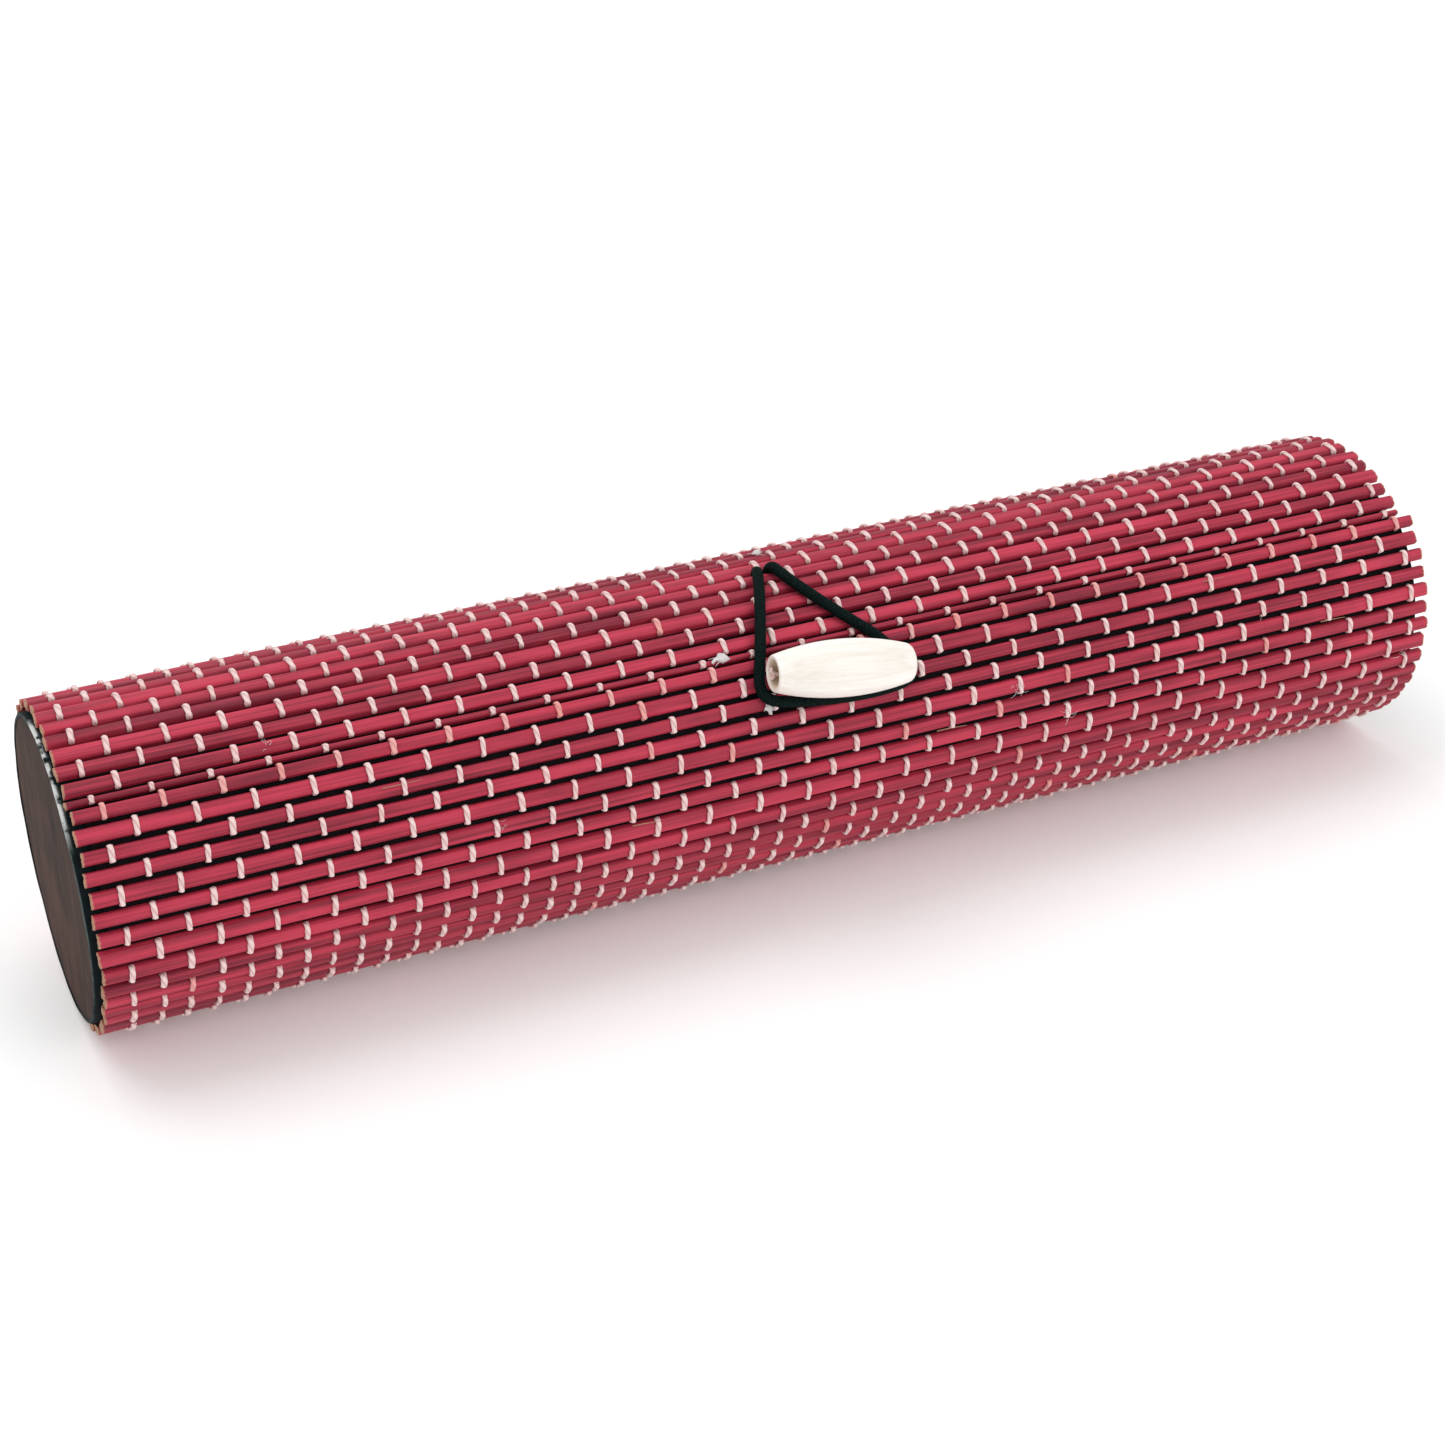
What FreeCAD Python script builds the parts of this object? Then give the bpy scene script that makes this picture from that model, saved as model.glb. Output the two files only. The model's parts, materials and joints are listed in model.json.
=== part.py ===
"""A slatted bamboo roll case: a woven bamboo mat round two end discs, closed by a loop and a bead.

Millimetres. X runs along the case, the closure faces -Y and +Z is up. The origin is on the
surface that the case rests on, under its axis and half way along the lower mat.
Angles go round the axis in degrees: 0 is the front, 90 the top, 180 the back and -90 underneath.
"""
import FreeCAD, Part
import math
import os

from FreeCAD import Placement, Rotation, Vector

# ---- the mat -------------------------------------------------------------------------------
mat_diameter = 60.0          # over the slats' outer faces
mat_length = 270.7           # of the lower mat's slats
slat_thickness = 1.5
slat_gap = 0.5               # between neighbours, at their inner faces
slat_bevel = 0.25            # on the outer long edges
edge_slat_rise = 0.35        # how far the closing edge slat stands proud of the others
flap_left_overhang = 0.6     # the flap's slats start this much before the lower mat's
flap_right_shortfall = 2.3   # and stop this much before the lower mat's
stagger = 0.35               # neighbouring slat ends differ by this much
seam_angle = 49.4            # where the flap's free edge meets the lower mat
flap_root_angle = 177.5      # where the flap leaves the fixed mat
base_slat_count = 3          # slats pressed flat by the case's own weight

# A slat's share of the mat, as a multiple of the standard slat's.
WIDTH_SHARE = {"E": 0.50, "N": 0.86, "S": 1.00, "W": 1.09, "B": 1.16, "X": 1.33}
FLAP_PATTERN = "ESSWSSX" + 12 * "S"           # from the free edge back to the root
FRONT_PATTERN = "NWSSWSSBW" + 3 * "N" + 7 * "S"  # from the seam down to the underside
BACK_PATTERN = 12 * "S"                       # from the underside up to the flap's root
UPPER_FRONT_COUNT = 9                         # front slats above the tightly rolled ones

# ---- the lining ----------------------------------------------------------------------------
lining_thickness = 0.4
lining_strip_gap = 0.2       # between the lining of neighbouring flap slats
lining_end_margin = 2.0      # the lining stops short of the slats' ends

# ---- the end discs -------------------------------------------------------------------------
disc_thickness = 5.0
rim_cloth_thickness = 0.5
rim_cloth_hem = 2.0          # the cloth runs this far past the board's inner face
rim_clearance = 0.3          # between the rim cloth and the lining
left_disc_proud = 1.2        # the left board stands out past the lower mat
right_disc_inset = 3.0       # the right board lies inside the lower mat
disc_edge_round = 0.4
seat_tape_end_angle = 1.5    # the tape that holds a disc stops this far from seam and root

# ---- the bead and its tie ------------------------------------------------------------------
bead_length = 27.2
bead_diameter = 10.7
bead_end_diameter = 6.8
bead_bore = 2.8
bead_cross_hole = 2.2        # from the bead's underside up to its bore
bead_edge_chamfer = 0.35
bead_clearance = 1.25        # between the bead's middle and the slats below it
bead_x = 2.1
bead_angle = 37.5
bead_skew = 7.3              # the bead's right end lies lower than its left by this angle
tie_diameter = 0.9
tie_foot_depth = 1.2         # of the thread's foot below the slats' outer faces
tie_entry = 0.6              # of the tie inside the cross hole
tie_break = 0.15             # between the tie and the thread that turns with the bead
tie_knot_diameter = 1.9
tie_slat = 2                 # the tie comes out below this slat, counted from the seam

# ---- the elastic loop ----------------------------------------------------------------------
cord_diameter = 2.1
cord_rise = 0.3              # of the cord over the slats
anchor_x = -0.95             # middle of the two strands where they come out of the mat
anchor_spread = 2.3          # between the two strands there
anchor_clearance = 0.2       # between the strands and the notch that they come through
anchor_slat = 6              # the strands come out above this slat, counted from the free edge
exit_depth = 2.4             # of the strands' ends below the slats' outer faces
bend_rise = 0.65             # of the cord's underside over the slats, where it bends out of the notch
knot_size = 5.0
knot_height = 2.2

# The loop's own points from the left strand round to the right one: place along the case,
# angle round it. Its first and last points are worked out from the anchor.
LOOP_ROUTE = [
    (-4.7, 74.5), (-7.6, 62.0), (-10.4, 49.0), (-12.5, 39.0), (-11.6, 33.2),
    (-5.4, 30.6), (5.0, 28.4), (13.6, 28.4), (18.2, 30.6), (17.3, 36.0),
    (12.9, 47.0), (9.2, 54.5), (6.0, 62.0), (3.2, 70.5), (1.4, 78.5),
]

# ---- worked out from the sizes above -------------------------------------------------------
mat_radius = mat_diameter / 2
axis_height = mat_radius
slat_inner_radius = mat_radius - slat_thickness
lining_radius = slat_inner_radius - lining_thickness
hinge_radius = slat_inner_radius - lining_thickness / 2
rim_radius = lining_radius - rim_clearance
board_radius = rim_radius - rim_cloth_thickness
lower_left = -mat_length / 2
lower_right = mat_length / 2
flap_left = lower_left - flap_left_overhang
flap_right = lower_right - flap_right_shortfall
left_disc_face = lower_left - left_disc_proud
right_disc_face = lower_right - right_disc_inset
UNDERSIDE = -90.0
X_AXIS = Vector(1, 0, 0)


def lay_out(pattern, first_angle, last_angle):
    """Centre angle and pitch angle of each slat of a pattern that fills an arc."""
    shares = [WIDTH_SHARE[letter] for letter in pattern]
    degrees_per_share = (last_angle - first_angle) / sum(shares)
    slats = []
    edge = first_angle
    for share in shares:
        pitch = share * degrees_per_share
        slats.append((edge + pitch / 2, abs(pitch)))
        edge += pitch
    return slats


flap_slats = lay_out(FLAP_PATTERN, seam_angle, flap_root_angle)
standard_pitch = flap_slats[1][1]
base_half_angle = base_slat_count * standard_pitch / 2
base_front_angle = UNDERSIDE + base_half_angle
base_back_angle = UNDERSIDE - base_half_angle
fixed_root_angle = flap_root_angle - 360.0
front_slats = lay_out(FRONT_PATTERN, seam_angle, base_front_angle)
back_slats = lay_out(BACK_PATTERN, base_back_angle, fixed_root_angle)


def outward(angle):
    """Unit vector that points away from the axis at an angle round it."""
    return Vector(0, -math.cos(math.radians(angle)), math.sin(math.radians(angle)))


def upward_round(angle):
    """Unit vector along the mat's surface, towards a larger angle."""
    return Vector(0, math.sin(math.radians(angle)), math.cos(math.radians(angle)))


def on_case(x, angle, radius):
    """The point at a place along the case, an angle round it and a distance from its axis."""
    return Vector(x, 0, axis_height) + outward(angle) * radius


def slat_width(pitch, radius, gap):
    """Width of a flat strip that leaves half a gap each side of its pitch at a radius."""
    return 2 * radius * math.tan(math.radians(pitch / 2)) - gap


def prism(section, angle, left, right):
    """A strip along X whose section is given as (across the mat, distance from the axis)."""
    across = upward_round(angle)
    corners = [on_case(left, angle, out) + across * s for s, out in section]
    face = Part.Face(Part.makePolygon(corners + corners[:1]))
    return face.extrude(Vector(right - left, 0, 0))


def slat_section(width, outer_radius):
    """A slat's section, bevelled along its outer edges."""
    half = width / 2
    bevel = min(slat_bevel, half / 2)
    inner = outer_radius - slat_thickness
    shoulder = outer_radius - bevel
    return [
        (-half, inner), (half, inner), (half, shoulder),
        (half - bevel, outer_radius), (bevel - half, outer_radius), (-half, shoulder),
    ]


def slat(angle, pitch, left, right, rise=0.0):
    """One bamboo slat at its place in the mat."""
    width = slat_width(pitch, slat_inner_radius, slat_gap)
    return prism(slat_section(width, mat_radius + rise), angle, left, right)


def staggered(index, left, right):
    """Ends of one slat: every other slat sits a little to the left."""
    shift = stagger if index % 2 else 0.0
    return left - shift, right - shift


def slat_group(slats, first_index):
    """Slats of the lower mat, as separate solids."""
    solids = []
    for offset, (angle, pitch) in enumerate(slats):
        left, right = staggered(first_index + offset, lower_left, lower_right)
        solids.append(slat(angle, pitch, left, right))
    return solids


def base_slats():
    """The slats that the case rests on, side by side in one plane."""
    pitch_length = 2 * mat_radius * math.tan(math.radians(standard_pitch / 2))
    width = slat_width(standard_pitch, slat_inner_radius, slat_gap)
    middle = (base_slat_count - 1) / 2
    solids = []
    for index in range(base_slat_count):
        left, right = staggered(index, lower_left, lower_right)
        solid = prism(slat_section(width, mat_radius), UNDERSIDE, left, right)
        solid.translate(Vector(0, (index - middle) * pitch_length, 0))
        solids.append(solid)
    return solids


def arc_panel(inner, outer, first_angle, last_angle, left, right):
    """A curved panel between two radii and two angles."""
    middle_angle = (first_angle + last_angle) / 2
    outer_arc = Part.Arc(
        on_case(left, first_angle, outer),
        on_case(left, middle_angle, outer),
        on_case(left, last_angle, outer),
    )
    inner_arc = Part.Arc(
        on_case(left, last_angle, inner),
        on_case(left, middle_angle, inner),
        on_case(left, first_angle, inner),
    )
    first_side = Part.makeLine(outer_arc.EndPoint, inner_arc.StartPoint)
    last_side = Part.makeLine(inner_arc.EndPoint, outer_arc.StartPoint)
    edges = [outer_arc.toShape(), first_side, inner_arc.toShape(), last_side]
    return Part.Face(Part.Wire(edges)).extrude(Vector(right - left, 0, 0))


def lining_panel(first_angle, last_angle):
    """Part of the lining that is glued to the lower mat."""
    left = lower_left + lining_end_margin
    right = lower_right - lining_end_margin
    return arc_panel(lining_radius, slat_inner_radius, first_angle, last_angle, left, right)


def flap_lining(angle, pitch):
    """The strip of lining behind one slat of the flap."""
    half = slat_width(pitch, lining_radius, lining_strip_gap) / 2
    section = [
        (-half, lining_radius), (half, lining_radius),
        (half, slat_inner_radius), (-half, slat_inner_radius),
    ]
    left = lower_left + lining_end_margin
    right = flap_right - lining_end_margin
    return prism(section, angle, left, right)


def end_disc(outer_face, inward):
    """A round board that closes one end; inward is +1 or -1 along X."""
    centre = Vector(outer_face, 0, axis_height)
    board = Part.makeCylinder(board_radius, disc_thickness, centre, Vector(inward, 0, 0))
    rims = [e for e in board.Edges if isinstance(e.Curve, Part.Circle)]
    return board.makeFillet(disc_edge_round, rims)


def rim_cloth(outer_face, inward):
    """The cloth band round a disc's edge."""
    start = Vector(outer_face + inward * disc_edge_round, 0, axis_height)
    length = disc_thickness - disc_edge_round + rim_cloth_hem
    direction = Vector(inward, 0, 0)
    outer = Part.makeCylinder(rim_radius, length, start, direction)
    inner = Part.makeCylinder(board_radius, length, start, direction)
    return outer.cut(inner)


def seat_tape(outer_face, inward):
    """The tape that holds a disc's cloth to the fixed lining, and leaves the flap free."""
    near = outer_face + inward * max(left_disc_proud + lining_end_margin, disc_edge_round)
    far = outer_face + inward * (disc_thickness + rim_cloth_hem)
    return arc_panel(
        rim_radius, lining_radius,
        fixed_root_angle + seat_tape_end_angle, seam_angle - seat_tape_end_angle,
        min(near, far), max(near, far),
    )


# ---- the bead's own frame: along its bore, and away from the mat -----------------------------
bead_out = outward(bead_angle)
bead_along = (
    X_AXIS * math.cos(math.radians(bead_skew))
    - upward_round(bead_angle) * math.sin(math.radians(bead_skew))
)
bead_centre = on_case(bead_x, bead_angle, mat_radius + bead_clearance + bead_diameter / 2)


def by_bead(along, out):
    """A point given along the bead's bore and away from the mat, from the bead's centre."""
    return bead_centre + bead_along * along + bead_out * out


def bead_placement():
    """Turns X into the bore's direction and Z into the way out from the mat, at the bead."""
    across = bead_out.cross(bead_along)
    return Placement(bead_centre, Rotation(bead_along, across, bead_out, "ZXY"))


def toggle_bead():
    """The barrel-shaped wooden bead, bored from end to end."""
    half = bead_length / 2
    end_radius = bead_end_diameter / 2
    bore_radius = bead_bore / 2
    chamfer = bead_edge_chamfer
    barrel = Part.Arc(
        Vector(-half + chamfer, end_radius, 0),
        Vector(0, bead_diameter / 2, 0),
        Vector(half - chamfer, end_radius, 0),
    ).toShape()
    corners = [
        Vector(half - chamfer, end_radius, 0), Vector(half, end_radius - chamfer, 0),
        Vector(half, bore_radius, 0), Vector(-half, bore_radius, 0),
        Vector(-half, end_radius - chamfer, 0), Vector(-half + chamfer, end_radius, 0),
    ]
    sides = [Part.makeLine(a, b) for a, b in zip(corners, corners[1:])]
    outline = Part.Face(Part.Wire([barrel] + sides))
    bead = outline.revolve(Vector(0, 0, 0), X_AXIS, 360)
    cross_hole = Part.makeCylinder(bead_cross_hole / 2, bead_diameter, Vector(0, 0, 0), Vector(0, 0, -1))
    bead = bead.cut(cross_hole)
    bead.Placement = bead_placement()
    return bead


def rounded_path(name, points, least_radius=0.0, set_radii=None):
    """Straight runs through the points, joined by tangent arcs as large as the runs allow."""
    share_of_run = 0.45
    radii = []
    edges = []
    start = points[0]
    for index in range(1, len(points) - 1):
        corner = points[index]
        back = points[index - 1] - corner
        ahead = points[index + 1] - corner
        turn = math.pi - back.getAngle(ahead)
        radius = share_of_run * min(back.Length, ahead.Length) / math.tan(turn / 2)
        radius = (set_radii or {}).get(index, radius)
        radii.append(radius)
        reach = radius * math.tan(turn / 2)
        back.normalize()
        ahead.normalize()
        first = corner + back * reach
        last = corner + ahead * reach
        bisector = back + ahead
        bisector.normalize()
        middle = corner + bisector * (radius / math.cos(turn / 2) - radius)
        edges.append(Part.LineSegment(start, first).toShape())
        edges.append(Part.Arc(first, middle, last).toShape())
        start = last
    edges.append(Part.LineSegment(start, points[-1]).toShape())
    path = Part.Wire(edges)
    print(f"{name}: length {path.Length:.1f}, radii {' '.join(f'{r:.1f}' for r in radii)}")
    if least_radius and min(radii) < least_radius:
        print(f"{name}: a bend is tighter than {least_radius:.1f}")
    return path


def tube(name, points, diameter, least_radius=0.0, set_radii=None):
    """A round cord along a rounded path."""
    path = rounded_path(name, points, least_radius, set_radii)
    tangent = points[1] - points[0]
    circle = Part.Wire(Part.makeCircle(diameter / 2, points[0], tangent))
    solid = path.makePipeShell([circle], True, False)
    expected = math.pi * diameter ** 2 / 4 * path.Length
    print(f"{name}: volume {solid.Volume:.1f}, section times length {expected:.1f}")
    return solid


def bead_tie():
    """The thread from between two slats up into the bead's cross hole."""
    underside = -bead_diameter / 2
    foot_angle = front_slats[tie_slat - 1][0] - front_slats[tie_slat - 1][1] / 2
    points = [
        on_case(bead_x, foot_angle, mat_radius - tie_foot_depth),
        by_bead(0, underside - tie_diameter / 2),
        by_bead(0, underside + tie_entry),
    ]
    return tube("bead_tie", points, tie_diameter)


def bead_thread():
    """The rest of that thread, which turns with the bead: up its cross hole and out of its left end."""
    points = [
        by_bead(0, -bead_diameter / 2 + tie_entry + tie_break),
        by_bead(0, 0),
        by_bead(-bead_length / 2, 0),
    ]
    return tube("bead_thread", points, tie_diameter, set_radii={1: tie_diameter})


def tie_knot():
    """The stopper knot in the mouth of the bore, at the bead's left end."""
    ball = Part.makeSphere(tie_knot_diameter / 2)
    half_space = Part.makeBox(tie_knot_diameter, tie_knot_diameter, tie_knot_diameter)
    inset = math.sqrt(tie_knot_diameter ** 2 - tie_diameter ** 2) / 2
    half_space.translate(Vector(inset, -tie_knot_diameter / 2, -tie_knot_diameter / 2))
    knot = ball.cut(half_space)
    knot.Placement = Placement(by_bead(-bead_length / 2 - inset, 0), bead_placement().Rotation)
    return knot


# ---- the loop's anchor, in the gap above one slat of the flap --------------------------------
anchor_slats = flap_slats[:anchor_slat]
anchor_angle = anchor_slats[-1][0] + anchor_slats[-1][1] / 2


def by_anchor(x, down, out):
    """A point given along the case, down the mat from the anchor and out from its surface."""
    base = on_case(x, anchor_angle, mat_radius)
    return base - upward_round(anchor_angle) * down + outward(anchor_angle) * out


def strand_end(side):
    """The first points of one strand: up through the notch, then over and down the mat."""
    x = anchor_x + side * anchor_spread / 2
    corner = by_anchor(x, 0, cord_diameter / 2 + bend_rise)
    return [by_anchor(x, 0, -exit_depth), corner]


def loop_radius(angle):
    """The cord's distance from the axis: it climbs over the closing edge slat."""
    edge_angle, edge_pitch = front_slats[0]
    over_edge = abs(angle - edge_angle) < edge_pitch
    climb = edge_slat_rise if over_edge else 0.0
    return mat_radius + cord_diameter / 2 + cord_rise + climb


def loop_cord():
    """The elastic, out of the mat, round under the bead and back in."""
    middle = [on_case(x, angle, loop_radius(angle)) for x, angle in LOOP_ROUTE]
    points = strand_end(-1) + middle + strand_end(1)[::-1]
    bends = {1: cord_diameter, len(points) - 2: cord_diameter}
    return tube("loop_cord", points, cord_diameter, set_radii=bends)


def loop_knot():
    """The knot that keeps the loop's ends inside the flap."""
    top = mat_radius - exit_depth
    corner = Vector(-knot_size / 2, -knot_height / 2, -knot_height)
    knot = Part.makeBox(knot_size, knot_height, knot_height, corner)
    knot = knot.makeFillet(knot_height / 3, knot.Edges)
    upright = Rotation(X_AXIS, 90.0 - anchor_angle)
    knot.Placement = Placement(on_case(anchor_x, anchor_angle, top), upright)
    return knot


def anchor_notch():
    """The space that the two strands need where they pass between two slats."""
    length = anchor_spread + cord_diameter + 4 * anchor_clearance
    width = cord_diameter + 3 * anchor_clearance
    section = [
        (-width / 2, lining_radius - 1), (width / 2, lining_radius - 1),
        (width / 2, mat_radius + 1), (-width / 2, mat_radius + 1),
    ]
    left = anchor_x - length / 2
    return prism(section, anchor_angle, left, left + length)


def save(name, solids):
    """Write one node; a list is a group of separate solids."""
    shape = Part.makeCompound(solids) if isinstance(solids, list) else solids
    shape.exportStep(f"parts/{name}.step")


def hinge_lines():
    """Where each flap slat turns on the one behind it, from the root to the free edge."""
    edges = [angle + pitch / 2 for angle, pitch in reversed(flap_slats)]
    return [on_case(0, angle, hinge_radius) for angle in edges]


def build():
    os.makedirs("parts", exist_ok=True)
    notch = anchor_notch()
    for number, (angle, pitch) in enumerate(reversed(flap_slats), start=1):
        left, right = staggered(number, flap_left, flap_right)
        next_to_anchor = abs(abs(angle - anchor_angle) - pitch / 2) < 1e-6
        strip = slat(angle, pitch, left, right)
        lining = flap_lining(angle, pitch)
        save(f"flap_slat_{number:02d}", strip.cut(notch) if next_to_anchor else strip)
        save(f"flap_lining_{number:02d}", lining.cut(notch) if next_to_anchor else lining)

    edge_angle, edge_pitch = front_slats[0]
    save("closing_edge_slat", slat(edge_angle, edge_pitch, lower_left, lower_right, edge_slat_rise))
    save("front_slats_upper", slat_group(front_slats[1:UPPER_FRONT_COUNT], 1))
    save("front_slats_lower", slat_group(front_slats[UPPER_FRONT_COUNT:], UPPER_FRONT_COUNT))
    save("base_slats", base_slats())
    save("back_slats", slat_group(back_slats, 0))

    save("lining_front", lining_panel(base_front_angle, seam_angle - seat_tape_end_angle / 3))
    save("lining_base", lining_panel(base_back_angle, base_front_angle))
    save("lining_back", lining_panel(fixed_root_angle + seat_tape_end_angle / 3, base_back_angle))

    for side, face, inward in (("left", left_disc_face, 1), ("right", right_disc_face, -1)):
        save(f"end_disc_{side}", end_disc(face, inward))
        save(f"rim_cloth_{side}", rim_cloth(face, inward))
        save(f"seat_tape_{side}", seat_tape(face, inward))

    save("toggle_bead", toggle_bead())
    save("bead_tie", bead_tie())
    save("bead_thread", bead_thread())
    save("bead_tie_knot", tie_knot())
    save("loop_cord", loop_cord())
    save("loop_knot", loop_knot())


build()
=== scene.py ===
"""Looks of a slatted bamboo roll case, built round its frame.

Metres, in the frame's axes: X runs along the case, the closure faces -Y and +Z is up.
Angles go round the case's axis in degrees: 0 is the front, 90 the top, 180 the back and -90 underneath.
"""
import json
import math

import bmesh
import bpy
import numpy as np
from bpy.props import FloatProperty, FloatVectorProperty, IntProperty, PointerProperty
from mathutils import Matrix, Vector

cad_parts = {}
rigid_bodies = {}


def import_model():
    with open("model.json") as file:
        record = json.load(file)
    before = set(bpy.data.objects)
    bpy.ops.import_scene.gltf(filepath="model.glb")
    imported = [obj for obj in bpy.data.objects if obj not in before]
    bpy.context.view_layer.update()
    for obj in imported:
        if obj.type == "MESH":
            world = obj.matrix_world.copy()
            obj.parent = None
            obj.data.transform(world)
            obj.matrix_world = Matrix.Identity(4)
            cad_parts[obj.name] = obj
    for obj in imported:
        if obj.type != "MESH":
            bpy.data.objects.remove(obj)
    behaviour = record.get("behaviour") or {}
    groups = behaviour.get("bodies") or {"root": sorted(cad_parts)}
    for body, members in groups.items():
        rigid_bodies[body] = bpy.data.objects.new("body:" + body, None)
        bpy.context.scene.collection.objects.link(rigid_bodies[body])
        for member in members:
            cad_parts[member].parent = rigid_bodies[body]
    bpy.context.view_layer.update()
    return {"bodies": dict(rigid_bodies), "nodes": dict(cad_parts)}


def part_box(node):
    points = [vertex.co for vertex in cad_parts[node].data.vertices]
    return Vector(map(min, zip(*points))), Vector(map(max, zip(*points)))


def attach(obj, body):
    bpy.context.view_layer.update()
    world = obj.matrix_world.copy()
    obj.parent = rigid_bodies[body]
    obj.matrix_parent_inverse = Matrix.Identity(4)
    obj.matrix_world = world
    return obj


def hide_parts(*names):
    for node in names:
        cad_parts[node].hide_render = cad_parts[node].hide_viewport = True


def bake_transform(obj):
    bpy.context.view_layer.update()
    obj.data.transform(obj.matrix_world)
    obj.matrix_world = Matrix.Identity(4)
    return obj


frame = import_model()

bl_info = {
    "name": "Slatted bamboo roll case",
    "version": (1, 0, 0),
    "blender": (4, 5, 0),
    "location": "3D View > Sidebar > Roll case",
    "description": "Builds the slats, stitches, lining, ends and closure of a bamboo roll case",
    "category": "Add Mesh",
}

MM = 0.001


# ---- the mat's layout ------------------------------------------------------------------------
# A slat's share of the mat, as a multiple of the standard slat's, and how bright its dye came out.
WIDTH_SHARE = {"E": 0.50, "N": 0.86, "S": 1.00, "W": 1.09, "B": 1.16, "X": 1.33}
TONES = {"+": 0.85, ".": 0.5, "-": 0.15}
FLAP_PATTERN = "ESSWSSX" + 12 * "S"
FLAP_TONES = "-+-+-.+" + ".-.+.-.-+..-"
FRONT_PATTERN = "NWSSWSSBW" + 3 * "N" + 7 * "S"
FRONT_TONES = ".+..+.++." + "-.-" + ".-.+.-."
BACK_PATTERN = 12 * "S"
BACK_TONES = ".+-.-.+.-..-"
BASE_COUNT = 3
SEAM_ANGLE = 49.4
FLAP_ROOT_ANGLE = 177.5
UNDERSIDE = -90.0
SLAT_GAP = 0.5 * MM
# How much wider than the standard gap the one below each slat is, in mm: the rows in front stand open,
# the ones under the case are pushed together, and the flap's root has room to bend.
FLAP_OPENING = [0.1, 0.4, 0.5, 0.35, 0.5, 0.35, 0.6, 0.1, 0.5, 0.3, 0.4] + 7 * [0.2] + [0.5]
FRONT_OPENING = [0.2] + 8 * [0.5] + [0.1] + 9 * [-0.25]
BACK_OPENING = 11 * [-0.2] + [0.5]
STAGGER = 0.35 * MM
EDGE_SLAT_RISE = 0.35 * MM
LINING_THICKNESS = 0.4 * MM
STANDARD_HALF_WIDTH = 1.45 * MM
STITCHES_IN_A_ROW = 28
STITCH_DEPTH = 0.8 * MM
STITCH_END_MARGIN = 1.6 * MM
STAINED_SHARE = 0.02
FLUFF_WAD_ROWS = 9
FLUFF_WAD_SIDES = 12

disc_low, disc_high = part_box("end_disc_left")
base_low, base_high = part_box("base_slats")
edge_low, edge_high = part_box("closing_edge_slat")
flap_low, flap_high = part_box("flap_slat_02")
AXIS_HEIGHT = (disc_low.z + disc_high.z) / 2
MAT_RADIUS = AXIS_HEIGHT - base_low.z
SLAT_THICKNESS = base_high.z - base_low.z
SLAT_INNER_RADIUS = MAT_RADIUS - SLAT_THICKNESS
LINING_RADIUS = SLAT_INNER_RADIUS - LINING_THICKNESS
FLAP_LINKS = sorted(name for name in frame["bodies"] if name.startswith("flap_link_"))


def outward(angle):
    """Unit vector that points away from the axis at an angle round it."""
    return Vector((0, -math.cos(math.radians(angle)), math.sin(math.radians(angle))))


def upward_round(angle):
    """Unit vector along the mat's surface, towards a larger angle."""
    return Vector((0, math.sin(math.radians(angle)), math.cos(math.radians(angle))))


def on_case(x, angle, radius):
    """The point at a place along the case, an angle round it and a distance from its axis."""
    return Vector((x, 0, AXIS_HEIGHT)) + outward(angle) * radius


class Slat:
    """One slat's place: its outer face's middle, the way that face looks, and its size."""

    def __init__(self, angle, pitch, ends, tone, parity, shift=0.0, rise=0.0, opening=0.0):
        self.angle = angle
        room = SLAT_INNER_RADIUS * math.tan(math.radians(pitch / 2))
        self.half_width = room - SLAT_GAP / 2 - opening * MM / 2
        self.left, self.right = ends
        self.middle = on_case(0, angle, MAT_RADIUS + rise) + Vector((0, shift, 0))
        self.tone = tone
        self.parity = parity
        self.flattened = angle == UNDERSIDE
        self.edge = rise > 0


def lay_out(pattern, first_angle, last_angle):
    """Centre angle and pitch angle of each slat of a pattern that fills an arc."""
    shares = [WIDTH_SHARE[letter] for letter in pattern]
    degrees_per_share = (last_angle - first_angle) / sum(shares)
    places = []
    edge = first_angle
    for share in shares:
        pitch = share * degrees_per_share
        places.append((edge + pitch / 2, abs(pitch)))
        edge += pitch
    return places


def staggered(index, ends):
    """Ends of one slat: every other slat sits a little to the left."""
    shift = STAGGER if index % 2 else 0.0
    return ends[0] - shift, ends[1] - shift


LOWER_ENDS = (edge_low.x, edge_high.x)
FLAP_ENDS = (flap_low.x, flap_high.x)
flap_places = lay_out(FLAP_PATTERN, SEAM_ANGLE, FLAP_ROOT_ANGLE)
STANDARD_PITCH = flap_places[1][1]
BASE_HALF_ANGLE = BASE_COUNT * STANDARD_PITCH / 2
front_places = lay_out(FRONT_PATTERN, SEAM_ANGLE, UNDERSIDE + BASE_HALF_ANGLE)
back_places = lay_out(BACK_PATTERN, UNDERSIDE - BASE_HALF_ANGLE, FLAP_ROOT_ANGLE - 360)


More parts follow.
